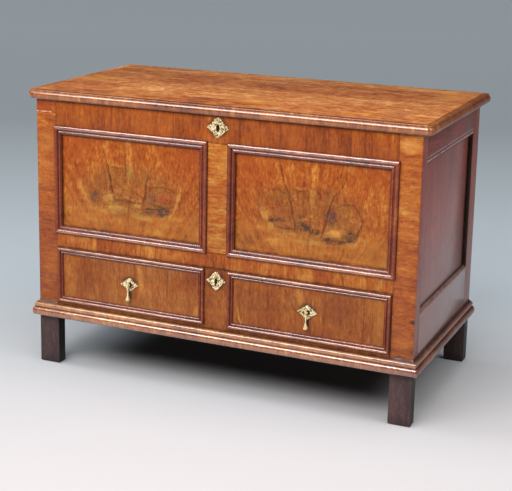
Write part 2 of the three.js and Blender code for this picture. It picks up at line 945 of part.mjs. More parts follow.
function addLocks() {
  const boltStart = -stapleWidth / 2 - seam - lidBoltLength - seam;
  const boltEnd = boltStart + lidBoltLength;
  const boltWay = block(
    boltStart - seam,
    boltEnd + lidBoltTravel + seam,
    boltFront - seam,
    boltBack + seam,
    lidBoltZ - seam,
    lidBoltZ + lidBoltHeight + seam,
  );
  const stapleWay = block(
    -stapleWidth / 2 - seam,
    stapleWidth / 2 + seam,
    stapleY - stapleClearance,
    stapleY + stapleDepth + stapleClearance,
    lidBottom - stapleLength - seam,
    carcaseHeight + cutOverrun,
  );
  const lidCase = lockCase(carcaseHeight, lidKeyholeZ, boltWay, stapleWay);
  addPiece(carcase, "lid_lock_case", lidCase, iron);
  const lidBolt = block(
    boltStart,
    boltEnd,
    boltFront,
    boltBack,
    lidBoltZ,
    lidBoltZ + lidBoltHeight,
  );
  addPiece(carcase, "lid_lock_bolt", lidBolt, iron);

  const half = drawerBoltWidth / 2;
  const boltTop = drawerTop - seam;
  const drawerBoltWay = block(
    -half - seam,
    half + seam,
    boltFront - seam,
    boltBack + seam,
    boltTop - drawerBoltLength - seam,
    drawerTop + cutOverrun,
  );
  const drawerCase = lockCase(drawerTop, drawerKeyholeZ, drawerBoltWay);
  addPiece(drawer, "drawer_lock_case", drawerCase, iron);
  const drawerBolt = block(
    -half,
    half,
    boltFront,
    boltBack,
    boltTop - drawerBoltLength,
    boltTop,
  );
  addPiece(drawer, "drawer_lock_bolt", drawerBolt, iron);
}

// A quarter outline, as shares of half the width and half the height, reflected into a whole one
function fourfold(quarterShares, width, height) {
  const quarter = quarterShares.map(([a, b]) => [(a * width) / 2, (b * height) / 2]);
  const upperLeft = quarter.slice(0, -1).reverse().map(([a, b]) => [-a, b]);
  const upper = [...quarter, ...upperLeft];
  const lower = upper.slice(1, -1).reverse().map(([a, b]) => [a, -b]);
  return [...upper, ...lower];
}

const escutcheonShares = [
  [1, 0],
  [0.97, 0.13],
  [0.87, 0.16],
  [0.9, 0.31],
  [0.79, 0.39],
  [0.62, 0.44],
  [0.49, 0.53],
  [0.4, 0.66],
  [0.35, 0.83],
  [0.28, 0.93],
  [0.16, 0.88],
  [0.11, 0.97],
  [0, 1],
];
const piercingShares = [
  [0.7, 0],
  [0, 0.72],
];

function escutcheon(width, height, z, eyeZ) {
  const y0 = -seam - brassThickness;
  const outline = fourfold(escutcheonShares, width, height).map(([a, b]) => [a, b + z]);
  const holes = piercingShares.flatMap(([a, b]) =>
    [1, -1].map((side) =>
      rodY(
        piercingRadius,
        y0 - cutOverrun,
        cutOverrun,
        (side * a * width) / 2,
        z + (side * b * height) / 2,
      ),
    ),
  );
  return cutAll(prismY(outline, y0, -seam), keyhole(y0 - cutOverrun, cutOverrun, eyeZ), ...holes);
}

function addEscutcheons() {
  const lidPlateZ = lidKeyholeZ - keyholeDrop / 3;
  const lidPlate = escutcheon(lidEscutcheonWidth, lidEscutcheonHeight, lidPlateZ, lidKeyholeZ);
  addPiece(carcase, "lid_escutcheon", lidPlate, brass);
  const drawerPlate = escutcheon(
    drawerEscutcheonWidth,
    drawerEscutcheonHeight,
    drawerKeyholeZ - keyholeDrop / 3,
    drawerKeyholeZ,
  );
  addPiece(drawer, "drawer_escutcheon", drawerPlate, brass);
}

// Dovetails at an end of a drawer side, grown by a margin for their sockets
function tails(rootY, tipY, margin) {
  const direction = Math.sign(tipY - rootY);
  const pitch = drawerSideHeight / tailCount;
  const rootHalf = (pitch * tailWidthShare) / 2 + margin;
  const tipHalf = rootHalf + tailSlope;
  const x0 = drawerSideInner - margin;
  const x1 = drawerHalf + margin;
  return Array.from({ length: tailCount }, (_, i) => {
    const z = drawerSideBase + pitch * (i + 1 / 2);
    const outline = [
      [rootY - direction * cutOverrun, z - rootHalf],
      [rootY, z - rootHalf],
      [tipY + direction * margin, z - tipHalf],
      [tipY + direction * margin, z + tipHalf],
      [rootY, z + rootHalf],
      [rootY - direction * cutOverrun, z + rootHalf],
    ];
    return prismX(outline, x0, x1);
  });
}

function mirroredSolid(body) {
  const geometry = surface(body).scale(-1, 1, 1);
  const { array } = geometry.index;
  for (let i = 0; i < array.length; i += 3) [array[i], array[i + 1]] = [array[i + 1], array[i]];
  return solid(geometry);
}

const pullX = (muntinWidth / 2 + frontInner) / 2;
const pullZ =
  (drawerBase + drawerMouldingLowMargin + drawerTop - drawerMouldingTopMargin) / 2;
const shankHole = pullShankRadius + seam;

function addDrawer() {
  const rootFront = drawerFrontThickness;
  const tipFront = drawerFrontThickness - frontTailLength;
  const rootBack = drawerLength - drawerBackThickness;
  const bothSides = (bodies) => [...bodies, ...bodies.map(mirroredSolid)];
  const bottomReach = drawerSideInner + drawerBottomTongue;
  const bottomFront = drawerFrontThickness - drawerBottomTongue;
  const bottom = [
    -bottomReach,
    bottomReach,
    bottomFront,
    drawerLength,
    drawerBottomZ,
    drawerBottomZ + drawerBottomThickness,
  ];
  const bottomGroove = block(...grown(bottom, seam));

  const face = cutAll(
    block(-drawerHalf, drawerHalf, 0, drawerFrontThickness, drawerBase, drawerTop),
    ...bothSides(tails(rootFront, tipFront, seam)),
    bottomGroove,
    lockPocket(drawerTop, drawerFrontThickness),
    keyhole(-cutOverrun, lockWood + cutOverrun, drawerKeyholeZ),
    ...[-pullX, pullX].map((x) =>
      rodY(shankHole, -cutOverrun, drawerFrontThickness + cutOverrun, x, pullZ),
    ),
  );
  addPiece(drawer, "drawer_front", face, walnut);

  const board = block(
    drawerSideInner,
    drawerHalf,
    rootFront + seam,
    rootBack - seam,
    drawerSideBase,
    drawerSideTop,
  );
  const side = cutAll(
    joinAll(board, ...tails(rootFront, tipFront, 0), ...tails(rootBack, drawerLength, 0)),
    bottomGroove,
  );
  addPair(drawer, "drawer_side", side, plainOak);

  const back = cutAll(
    block(
      -drawerHalf,
      drawerHalf,
      rootBack,
      drawerLength,
      drawerBottomZ + drawerBottomThickness + seam,
      drawerSideTop,
    ),
    ...bothSides(tails(rootBack, drawerLength, seam)),
  );
  addPiece(drawer, "drawer_back", back, plainOak);
  addPiece(drawer, "drawer_bottom", block(...bottom), plainOak);

  const frame = mouldingFrame(
    panelMouldingProfile(-seam),
    muntinWidth / 2 + drawerMouldingMargin,
    drawerHalf - drawerMouldingMargin,
    drawerBase + drawerMouldingLowMargin,
    drawerTop - drawerMouldingTopMargin,
  );
  addPair(drawer, "drawer_moulding", frame, mouldingWalnut);
}

const pullPlateShares = [
  [1, 0],
  [0.85, 0.13],
  [0.79, 0.32],
  [0.62, 0.31],
  [0.55, 0.52],
  [0.38, 0.54],
  [0.3, 0.76],
  [0.13, 0.79],
  [0, 1],
];
const dropProfileShares = [
  [0.34, 0.1],
  [0.28, 0.3],
  [0.3, 0.5],
  [0.44, 0.64],
  [0.78, 0.75],
  [1, 0.86],
  [0.86, 0.94],
  [0.4, 0.98],
];

// A drop handle: a plate, a wire ring whose shank is clinched inside the drawer, and a tear drop
// whose own eye hangs in the ring
function addPulls() {
  const plateFront = -seam - brassThickness;
  const ringY = plateFront - seam - pullWireRadius - pullRingRadius;
  const hangY = ringY - pullRingRadius;
  const clinchY = drawerFrontThickness + seam;
  const outline = fourfold(pullPlateShares, pullPlateWidth, pullPlateHeight);
  const hole = rodY(shankHole, plateFront - cutOverrun, cutOverrun, 0, 0);
  const plate = prismY(outline, plateFront, -seam).subtract(hole);
  const ring = new THREE.TorusGeometry(pullRingRadius, pullWireRadius, arcSteps * 2, roundSides);
  const clinchHalf = pullClinchLength / 2;
  const post = joinAll(
    solid(ring.clone().translate(0, ringY, 0)),
    rodY(pullShankRadius, ringY + pullRingRadius, clinchY + pullShankRadius, 0, 0),
    block(
      -clinchHalf,
      clinchHalf,
      clinchY,
      clinchY + pullShankRadius,
      -pullShankRadius,
      pullShankRadius,
    ),
  );
  const eyeDrop = pullRingRadius - pullWireRadius * 2 - seam;
  const profile = [
    [0, -pullRingRadius - eyeDrop],
    [dropNeckRadius, -pullRingRadius - eyeDrop],
    ...dropProfileShares.map(([across, along]) => [
      Math.max(across * dropBulbRadius, dropNeckRadius * across),
      -pullRingRadius - eyeDrop - along * (dropLength - pullRingRadius - eyeDrop),
    ]),
    [0, -dropLength],
  ].reverse();
  const points = profile.map(([across, along]) => new THREE.Vector2(across, along));
  const pendant = new THREE.LatheGeometry(points, roundSides).rotateX(Math.PI / 2);
  const drop = joinAll(
    solid(pendant),
    solid(ring.clone().rotateY(Math.PI / 2).translate(0, 0, -eyeDrop)),
  );
  for (const [side, x] of [["left", -pullX], ["right", pullX]]) {
    const pull = new THREE.Group();
    pull.position.set(x, 0, pullZ);
    addPiece(pull, "pull_plate_" + side, plate, brass);
    addPiece(pull, "pull_post_" + side, post, brass);
    addPiece(pull, "pull_drop_" + side, drop, brass).position.y = hangY;
    drawer.add(pull);
  }
}

addPosts();
addFrontFrame();
addSides();
addBack();
addWellAndRunners();
addPanelMouldings();
addBaseMoulding();
addLid();
addHinges();
addLocks();
addEscutcheons();
addDrawer();
addPulls();

export default chest;
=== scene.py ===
"""A walnut mule chest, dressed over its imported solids: veneers, mouldings, brasses and ironwork."""

import json
import math

import bmesh
import bpy
from mathutils import Matrix, Vector, noise


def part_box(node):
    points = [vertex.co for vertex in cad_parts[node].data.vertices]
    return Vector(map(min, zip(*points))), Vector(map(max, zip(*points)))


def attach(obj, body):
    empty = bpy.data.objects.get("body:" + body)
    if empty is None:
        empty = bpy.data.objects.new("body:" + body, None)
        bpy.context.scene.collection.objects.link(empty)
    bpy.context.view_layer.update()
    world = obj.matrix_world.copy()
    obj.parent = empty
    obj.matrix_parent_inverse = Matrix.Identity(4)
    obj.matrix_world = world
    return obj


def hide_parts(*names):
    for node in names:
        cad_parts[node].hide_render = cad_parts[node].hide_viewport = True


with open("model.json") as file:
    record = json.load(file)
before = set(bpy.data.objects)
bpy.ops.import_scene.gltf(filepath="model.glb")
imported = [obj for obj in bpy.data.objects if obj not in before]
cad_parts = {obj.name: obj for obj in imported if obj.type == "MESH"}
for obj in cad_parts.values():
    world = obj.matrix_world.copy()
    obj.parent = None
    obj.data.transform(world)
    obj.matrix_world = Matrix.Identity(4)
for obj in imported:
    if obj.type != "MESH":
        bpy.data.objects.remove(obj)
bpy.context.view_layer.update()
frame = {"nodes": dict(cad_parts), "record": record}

# Sizes of the chest, in metres, as in the part's source
SEAM = 0.0003
FRONT = -0.26635
HALF_WIDTH = 0.53
FRONT_INNER = 0.472
DEPTH = 0.54
FOOT = 0.136
PANEL_RECESS = 0.004
SIDE_BEVEL = 0.007
BACK = FRONT + DEPTH

# Raised moulding round the panels
FRAME_WIDTH = 0.017
FRAME_LIP = 0.005
FRAME_SHARES = (0.54, 0.64, 0.88)
FRAME_PROUD = 0.007
FRAME_FILLET = 0.0016
FRAME_CHANNEL = 0.0024
FRAME_INNER_RIB = 0.0046

# Base moulding, from its top edge down
BASE_TOP = FOOT + 0.042
CAVETTO_HEIGHT = 0.007
CAVETTO_REACH = 0.008
FILLET_HEIGHT = 0.002
BAND_HEIGHT = 0.012
BAND_BULGE = 0.003
TORUS_HEIGHT = 0.021
TORUS_REACH = 0.017
TORUS_ROOT = 0.011
# Dark bands across the base moulding, in the cavetto and between band and torus: dirt and painted
# shade.
BASE_GROOVES = ((0.0045, 0.0095), (0.0285, 0.0024))
DRAWER_WAY_TOP = FOOT + 0.035

# Lid edge
LID_BOTTOM = 0.7323
LID_THICKNESS = 0.025
LID_EDGE = 0.02
LID_FRONT = FRONT - 0.012
LID_REAR = BACK + 0.01
LID_CORE_HALF = 0.535
NOSE_HEIGHT = 0.022
NOSE_REACH = 0.0085
NOSE_TURN = 0.8
LEDGE_REACH = 0.0042
LEDGE_EASE = 0.0012
LID_CORNER = 0.018
BASE_CORNER = 0.006

# Brasses
LID_KEY_Z = 0.705
DRAWER_KEY_Z = 0.306
KEY_DROP = 0.009
PULL_X = 0.252
PULL_Z = 0.257
PLATE_EDGE = 0.0006
KEY_EYE = 0.0027
KEY_SLOT = 0.003
KEY_MIDDLE = KEY_DROP / 3
PIERCING = 0.0014
POST_HOLE = 0.0024
PIERCING_SHARE = 0.68
SCALLOP_SHARE = 0.22
ESCUTCHEON_SHARES = (
    (1.0, 0.0), (0.97, 0.09), (0.86, 0.1), (0.8, 0.22), (0.68, 0.25), (0.64, 0.37), (0.52, 0.42),
    (0.49, 0.53), (0.38, 0.6), (0.36, 0.76), (0.23, 0.83), (0.14, 0.96), (0.0, 1.0),
)
PULL_SHARES = (
    (1.0, 0.0), (0.92, 0.13), (0.79, 0.16), (0.72, 0.32), (0.58, 0.36), (0.52, 0.54), (0.37, 0.6),
    (0.33, 0.78), (0.19, 0.84), (0.12, 0.95), (0.0, 1.0),
)

# Hinges
HINGE_X = 0.34
LEAF_FACE = 0.2765
LEAF_NAILS = ((-0.008, 0.716), (0.008, 0.716), (0.0, 0.7))
STRAP_FACE = 0.7326
STRAP_NAILS = (0.157, 0.187, 0.217)
BOARD_FACE = 0.27365
BOARD_NAIL_X = 0.4812
BOARD_NAILS = (0.16, 0.23, 0.31, 0.4, 0.46, 0.54, 0.62, 0.7)

# Heads of the pins and nails: radius and rise
PIN_HEAD = (0.0011, 0.0007)
NAIL_HEAD = (0.0026, 0.0012)
PIN_SHARE = 0.86

# How finely the rounded pieces are made, and how far planing and wear left them from true
ARC_STEPS = 10
SWEEP_STEP = 0.011
CORNER_STEP = 0.002
CORNER_RINGS = 11
SHARP = math.radians(32)
EDGE_WOBBLE = 0.0002
FRAME_WOBBLE = 0.0008
ARRIS = 0.0007
POST_ARRIS = 0.0006
FINE_ARRIS = 0.0003

# The camera: its turn (yaw, pitch, roll) in degrees, and its place
CAMERA_TURN = (-23.176, -12.977, 1.144)
CAMERA_PLACE = (1.3572, -3.1893, 1.3022)


# Node graphs


def rgb(code):
    """A hex colour as linear red, green, blue and alpha."""
    parts = [int(code[i : i + 2], 16) / 255 for i in (0, 2, 4)]
    return [c / 12.92 if c <= 0.04045 else ((c + 0.055) / 1.055) ** 2.4 for c in parts] + [1]


class Value:
    """What a node gives, with arithmetic that adds the nodes it needs."""

    def __init__(self, graph, socket):
        self.graph = graph
        self.socket = socket

    def __add__(self, other):
        return self.graph.math("ADD", self, other)

    def __sub__(self, other):
        return self.graph.math("SUBTRACT", self, other)

    def __rsub__(self, other):
        return self.graph.math("SUBTRACT", other, self)

    def __mul__(self, other):
        return self.graph.math("MULTIPLY", self, other)

    def __truediv__(self, other):
        return self.graph.math("DIVIDE", self, other)

    def __abs__(self):
        return self.graph.math("ABSOLUTE", self)

    def between(self, low, high):
        """0 at low and 1 at high, smoothly."""
        inputs = {"Value": self, "From Min": low, "From Max": high}
        return self.graph.add("MapRange", inputs, interpolation_type="SMOOTHSTEP")

    def near(self, middle, width):
        """1 at middle, falling to 0 a width away."""
        return abs(self - middle).between(width, 0)


class Graph:
    """A material's node tree, built up from expressions."""

    def __init__(self, name):
        self.material = bpy.data.materials.new(name)
        self.material.use_nodes = True
        self.tree = self.material.node_tree
        self.tree.nodes.clear()
        self.point = self.add("TexCoord", output="Object")
        self.place = self.parts(self.point)

    def node(self, kind, inputs=(), **settings):
        node = self.tree.nodes.new("ShaderNode" + kind)
        for key, value in settings.items():
            setattr(node, key, value)
        for key, value in dict(inputs).items():
            if isinstance(value, Value):
                self.tree.links.new(value.socket, node.inputs[key])
            else:
                node.inputs[key].default_value = value
        return node

    def add(self, kind, inputs=(), output=0, **settings):
        return Value(self, self.node(kind, inputs, **settings).outputs[output])

    def math(self, operation, a, b=0.0, clamp=False):
        return self.add("Math", {0: a, 1: b}, operation=operation, use_clamp=clamp)

    def parts(self, vector):
        return [Value(self, socket) for socket in self.node("SeparateXYZ", {0: vector}).outputs]

    def vector(self, x, y, z):
        return self.add("CombineXYZ", {0: x, 1: y, 2: z})

    def facing(self):
        """The direction that the surface faces, as x, y and z."""
        return self.parts(self.add("NewGeometry", output="True Normal"))

    def noise(self, scale, detail=3, roughness=0.55, distortion=0, point=None):
        inputs = {"Vector": point or self.point, "Scale": scale, "Detail": detail,
                  "Roughness": roughness, "Distortion": distortion}
        return self.add("TexNoise", inputs)

    def streaks(self, scale, detail=4, offset=(0, 0, 0), point=None, **settings):
        """Noise with a scale for each axis."""
        inputs = {"Vector": point or self.point, "Scale": scale, "Location": offset}
        return self.noise(1, detail, point=self.add("Mapping", inputs), **settings)

    def chance(self, number):
        """A random value that stays the same wherever the number does."""
        return self.add("TexWhiteNoise", {"W": number}, "Value", noise_dimensions="1D")

    def spot(self, u, v, middle_u, middle_v, half_u, half_v):
        """1 at the middle of an ellipse, falling to 0 at its edge."""
        across, along = (u - middle_u) / half_u, (v - middle_v) / half_v
        return (across * across + along * along).between(1, 0)

    def curve(self, along, across, mark, widen=1, fade=0.012):
        """1 on a curve through a mark's three points, each its place along and then across."""
        (t0, s0), (t1, s1), (t2, s2) = sorted(zip(mark[0:6:2], mark[1:6:2]))
        bend = ((s2 - s0) / (t2 - t0) - (s1 - s0) / (t1 - t0)) / (t2 - t1)
        slope = (s1 - s0) / (t1 - t0) - bend * (t0 + t1)
        level = s0 - slope * t0 - bend * t0 ** 2
        middle = along * slope + level + along * along * bend
        started, ended = along.between(t0 - fade, t0 + fade), along.between(t2 + fade, t2 - fade)
        broken = self.noise(70).between(0.2, 0.52)
        return across.near(middle, mark[6] * widen) * started * ended * broken

    def ramp(self, value, *stops):
        node = self.node("ValToRGB", {0: value})
        elements = node.color_ramp.elements
        while len(elements) < len(stops):
            elements.new(0.5)
        for element, (place, code) in zip(elements, stops):
            element.position = place
            element.color = rgb(code)
        return Value(self, node.outputs[0])

    def mix(self, factor, a, b):
        inputs = {0: factor, 6: a, 7: rgb(b) if isinstance(b, str) else b}
        return self.add("Mix", inputs, 2, data_type="RGBA")

    def surface(self, colour, roughness, height=None, depth=0.0004, coat=0.0, coat_roughness=0.16,
                specular=0.5, metallic=0.0, coat_ior=1.5):
        inputs = {
            "Base Color": colour,
            "Roughness": roughness,
            "Coat Weight": coat,
            "Coat Roughness": coat_roughness,
            "Coat IOR": coat_ior,
            "Specular IOR Level": specular,
            "Metallic": metallic,
        }
        if height:
            inputs["Normal"] = self.add("Bump", {"Height": height, "Distance": depth})
        self.node("OutputMaterial", {0: self.add("BsdfPrincipled", inputs)})
        return self.material


# Wood


WALNUT = ((0.24, "521c04"), (0.41, "853c0c"), (0.55, "9c4f14"), (0.74, "b47d35"))
DRAWER = ((0.24, "451c08"), (0.41, "783810"), (0.55, "8b4a18"), (0.74, "a06632"))
BASE = ((0.24, "421b08"), (0.41, "7a3c14"), (0.56, "965422"), (0.74, "c08a48"))
RETURN = ((0.24, "38180e"), (0.42, "673522"), (0.58, "804a34"), (0.76, "a8735a"))
MOULDING = ((0.24, "3a150a"), (0.42, "6c2c14"), (0.6, "863e20"), (0.76, "ae6a40"))
UPRIGHT = ((0.24, "3c1406"), (0.42, "702a10"), (0.6, "8b3b18"), (0.76, "ae6432"))
NOSE = ((0.24, "3a1809"), (0.41, "733816"), (0.56, "8d4f23"), (0.74, "b57944"))
SIDE = ((0.24, "4a170b"), (0.42, "7c2b18"), (0.58, "943b26"), (0.76, "b05438"))
TOP = ((0.24, "622a10"), (0.4, "a6572a"), (0.55, "c77e45"), (0.74, "e9ae6b"))
FOOT_OAK = ((0.2, "211211"), (0.5, "3f2928"), (0.8, "5e4443"))
PLAIN_OAK = ((0.25, "5f3f24"), (0.5, "835f3a"), (0.75, "a27c50"))

# Floor tones, near to far: darker further off, a painted falloff of light.
STUDIO = ((0.0, "989393"), (0.16, "81868a"), (0.5, "666b6e"), (1.0, "6f7376"))
CHASING = ((0.36, "40300f"), (0.45, "b08f55"), (0.52, "e2c88e"), (0.62, "fff6d8"))
BRASS = ((0.3, "c8a86c"), (0.5, "f0d9a6"), (0.7, "fff2d0"))
IRON = ((0.3, "1c1a19"), (0.55, "3b3735"), (0.8, "5a5450"))

# Dark joints between leaves, dust and a painted sheen low on the sides, and the usual blotches and
# clouds of wood
JOINT = "2a1008"
DUST_AND_SHEEN = "8c7470"
BLOTCH = (14, 40, 0.14)
CLOUD = 0.36

# A line on wood wider than this is shade, and unbroken
WIDE_LINE = 0.01

# Length over which the ends of a light band fade out
BAND_FADE = 0.02

# Veins and seams of a burr are this much wider than written, and its dirt and painted shade lie inside
# the frame
BURR_WIDER = 1.6
FRAME_SIGHT = 0.024

# The front posts: height of a leaf, the left one's patch and the right one's knot
STILE_LEAF = 0.305
STILE_PATCH = (-0.484, 0.697)
STILE_KNOT = (0.527, 0.272)


def in_metres(*marks):
    """Marks written in millimetres; a colour, and the strength at the end, stay as they are."""
    lengths = [[m if isinstance(m, str) else m / 1000 for m in mark[:-1]] for mark in marks]
    return [[*parts, mark[-1]] for parts, mark in zip(lengths, marks)]


# Marks of the two burr panels, from the middle of each. A vein and a band are three points
# (height, sideways), a seam is three points (sideways, height), and each then has its width. A
# leaf, burr or light is its middle, its half sizes and, but for a leaf, its colour. The last
# number of each mark is its strength.
BURR_LEFT = {
    "bands": in_metres(
        (120, -4, 50, 0, -20, -3, 13, 0.13), (120, 20, 70, 12, 30, 4, 6, 0.1),
        (120, -66, 90, -70, 60, -75, 10, 0.08), (100, -85, 50, -97, 0, -118, 14, 0.09),
        (0, -150, -30, -137, -56, -122, 14, 0.3), (20, 143, -30, 133, -78, 106, 9, 0.22),
        (80, 85, 40, 75, 0, 70, 14, 0.06),
    ),
    "leaves": in_metres(
        (-40, 55, 24, 6, 0.2), (-55, -38, 34, 18, 0.3), (-70, -66, 55, 14, 0.26),
        (30, -73, 30, 10, 0.22), (60, -118, 30, 8, 0.3), (-110, -100, 20, 6, 0.2),
        (15, -34, 22, 6, 0.26), (45, -78, 50, 9, 0.2), (85, -110, 25, 10, 0.2),
    ),
    "burrs": in_metres(
        (-105, -35, 24, 20, "54362a", 0.85), (96, -50, 26, 15, "46302a", 0.9),
        (88, -62, 14, 9, "443430", 0.7), (100, -20, 36, 14, "8c3c1a", 0.8),
        (65, -20, 22, 20, "6a4430", 0.7), (55, -58, 35, 18, "5c3c22", 0.6),
        (-20, -40, 50, 12, "6a3a1c", 0.5),
    ),
    "lights": in_metres(
        (100, -12, 32, 10, "a44c20", 0.5), (-62, -26, 22, 14, "b48440", 0.45),
        (20, -45, 14, 8, "bc9048", 0.6), (-40, -58, 40, 8, "b48c40", 0.6),
    ),
    "veins": in_metres(
        (90, -79, 70, -72, 45, -64, 2.6, 0.5), (45, -64, 0, -56, -38, -43, 3.6, 0.85),
        (42, 57, 10, 49, -34, 37, 3, 0.75), (115, -18, 80, -14, 30, -12, 2.8, 0.5),
        (75, 13, 40, 7, -20, -1, 2.2, 0.35), (-20, 1, -60, -2, -110, -4, 3, 0.4),
    ),
    "seams": in_metres(
        (36, -53, 60, -50, 84, -46, 2.4, 0.8), (-44, -38, 0, -37, 34, -42, 3, 0.5),
        (55, -2, 90, 12, 130, 4, 3, 0.55), (60, -36, 90, -40, 125, -34, 3, 0.5),
        (-56, 50, -35, 48, -14, 49, 2.2, 0.4),
    ),
}
BURR_RIGHT = {
    "bands": in_metres(
        (120, 12, 60, 4, -10, 0, 12, 0.14), (120, -18, 80, -10, 30, -3, 6, 0.08),
        (120, -62, 90, -58, 60, -52, 12, 0.08), (-8, -146, -25, -130, -42, -112, 10, 0.2),
        (100, 170, 50, 183, -20, 186, 12, 0.09), (-50, 132, -65, 120, -85, 100, 6, 0.16),
        (120, 40, 70, 35, 0, 20, 12, 0.05),
    ),
    "leaves": in_metres(
        (-30, 53, 26, 6, 0.2), (-90, 65, 30, 16, 0.12), (62, -55, 26, 11, 0.8),
        (-100, -85, 30, 10, 0.2), (20, -80, 50, 10, 0.14), (120, -20, 30, 20, 0.12),
        (-60, -70, 60, 12, 0.12), (-115, -25, 20, 14, 0.16), (0, -20, 30, 10, 0.1),
    ),
    "burrs": in_metres(
        (-103, -37, 12, 9, "40281c", 0.9), (-75, -30, 16, 14, "8a5c34", 0.6),
        (-65, -51, 26, 7, "6b2f16", 0.75), (-20, -43, 30, 16, "46301f", 1.0),
        (10, -53, 20, 11, "47291a", 0.9), (-85, -35, 30, 8, "4c3220", 0.7),
        (-25, -18, 18, 6, "5c3a20", 0.6), (55, -14, 26, 22, "603828", 0.9),
        (100, -55, 28, 22, "583822", 0.85), (60, -74, 40, 10, "462c1a", 0.9),
    ),
    "lights": in_metres(
        (66, -52, 26, 10, "cf8c3c", 0.75), (88, -44, 14, 9, "c88440", 0.5),
        (-122, -20, 16, 22, "b07c34", 0.5), (-105, -52, 12, 12, "b8883c", 0.7),
        (110, -75, 20, 10, "b88440", 0.6), (-10, -85, 70, 8, "b08438", 0.5),
    ),
    "veins": in_metres(
        (108, -81, 60, -71, 30, -57, 2.6, 0.65), (30, -57, -15, -48, -60, -40, 2.8, 0.7),
        (112, 88, 80, 85, 40, 60, 2.4, 0.45), (40, 60, 5, 50, -65, 28, 2.8, 0.75),
        (24, 112, -20, 132, -60, 112, 2.6, 0.75), (40, -130, 0, -140, -50, -122, 2.4, 0.35),
        (50, -8, 20, -6, -10, -1, 2.2, 0.4), (-20, -1, -60, -3, -110, -5, 2.6, 0.35),
    ),
    "seams": in_metres(
        (50, 0, 80, 16, 112, 24, 2.6, 0.5), (30, -65, 70, -74, 110, -62, 3, 0.6),
        (-112, 38, -90, 40, -60, 30, 2.2, 0.5), (-54, 46, -30, 47, -6, 50, 2.2, 0.4),
        (-100, -46, -80, -53, -40, -50, 2.8, 0.6),
    ),
}

# Marks of the rest of the front, in its own coordinates, written in the same way
DRAWER_VEINS = in_metres(
    (312, 190, 275, 208, 238, 236, 3.4, 0.5), (312, 206, 280, 222, 250, 240, 2.6, 0.35),
    (312, 262, 285, 252, 262, 246, 2.4, 0.3), (300, -200, 260, -208, 225, -218, 3, 0.35),
    (310, -236, 280, -226, 250, -220, 2.6, 0.4), (318, 400, 250, 400, 182, 400, 1.8, 0.7),
    (240, 52, 215, 58, 195, 68, 3, 0.3),
)
DRAWER_BANDS = in_metres(
    (318, -226, 280, -220, 235, -216, 16, 0.45), (250, -45, 220, -52, 195, -60, 14, 0.45),
    (318, 226, 285, 232, 250, 242, 14, 0.3), (318, 440, 250, 440, 182, 436, 30, 0.18),
    (300, -430, 250, -430, 200, -430, 30, 0.2), (235, 62, 210, 67, 192, 76, 5, 0.6),
)
DRAWER_STAINS = in_metres(
    (340, 280, 70, 60, "5c2a18", 0.5), (140, 240, 80, 70, "6e3418", 0.3),
    (-360, 260, 90, 70, "5e2c1a", 0.45), (280, 210, 90, 30, "6a3018", 0.4),
    (-100, 220, 60, 50, "a06024", 0.4),
)
TOP_RAIL_SEAMS = in_metres((46, 684, 54, 686, 62, 683, 2.4, 0.6))
TOP_RAIL_VEINS = in_metres(
    (728, 352, 700, 352, 668, 352, 1.8, 0.5), (728, -270, 700, -268, 668, -272, 2.2, 0.3),
    (728, -200, 700, -202, 668, -199, 2.2, 0.25),
)
MIDDLE_VEINS = in_metres(
    (372, 338, 355, 342, 334, 345, 3, 0.8), (372, 118, 360, 120, 340, 119, 2, 0.5),
    (372, -10, 355, -8, 334, -9, 2, 0.7), (372, -240, 355, -236, 334, -232, 4, 0.6),
    (372, -150, 355, -149, 334, -151, 2, 0.4), (372, -82, 355, -80, 334, -83, 2, 0.3),
    (372, 446, 355, 445, 334, 447, 1.8, 0.4),
)
MIDDLE_BANDS = in_metres(
    (372, -360, 355, -358, 334, -361, 6, 0.5), (372, -190, 355, -193, 334, -192, 12, 0.35),
    (372, 250, 355, 254, 334, 252, 20, 0.25),
)
MUNTIN_SEAMS = in_metres((-40, 392, 0, 391, 40, 392, 1.6, 0.6))
LEFT_SPOTS = in_metres(
    (-500, 620, 35, 35, "bb7a34", 0.5), (-505, 548, 30, 20, "b87430", 0.45),
    (-500, 500, 35, 22, "6a2f10", 0.4), (-500, 430, 30, 20, "b06a28", 0.3),
    (-490, 340, 35, 30, "7c3812", 0.3), (-500, 250, 30, 40, "b06a2c", 0.35),
)
RIGHT_SPOTS = in_metres(
    (500, 704, 34, 26, "cc9044", 0.7), (500, 660, 30, 20, "b87028", 0.4),
    (520, 548, 30, 22, "7a3512", 0.4), (500, 490, 34, 20, "b87430", 0.4),
    (500, 400, 34, 30, "ac6428", 0.3), (500, 220, 30, 50, "b06a2c", 0.35),
)
LID_PATCHES = in_metres(
    (-100, 120, 420, 130, "8a4426", 0.2), (-490, 0, 60, 80, "d08c30", 0.7),
    (490, 190, 70, 120, "dc9444", 0.7), (45, -158, 50, 50, "e09c40", 0.7),
    (348, -180, 70, 40, "d88c38", 0.6), (-260, -190, 130, 40, "d89450", 0.5),
    (-430, -225, 150, 35, "7c3418", 0.9), (-80, -205, 45, 50, "6a3426", 0.8),
    (430, -146, 50, 60, "824028", 0.7), (-6, 130, 35, 45, "6c4248", 0.8),
    (-10, 30, 30, 25, "7c4c48", 0.6), (-170, 100, 30, 40, "6c4440", 0.5),
    (-350, 235, 70, 12, "e0ac90", 0.7), (-244, -98, 8, 12, "f0d8bc", 1.2),
)
# Round each drawer plate: dirt and painted shade; the spots under the pull plates are the drops'
# painted shadows.
DRAWER_PLATE_DIRT_AND_SHADE = (
    (0, DRAWER_KEY_Z - KEY_MIDDLE, 0.033, 0.031),
    *((x, PULL_Z + 0.004, 0.031, 0.024) for x in (-PULL_X, PULL_X)),
    *((x, PULL_Z - 0.026, 0.009, 0.026) for x in (-PULL_X, PULL_X)),
)


def scales(axis, along, across):
    return [along if i == axis else across for i in range(3)]


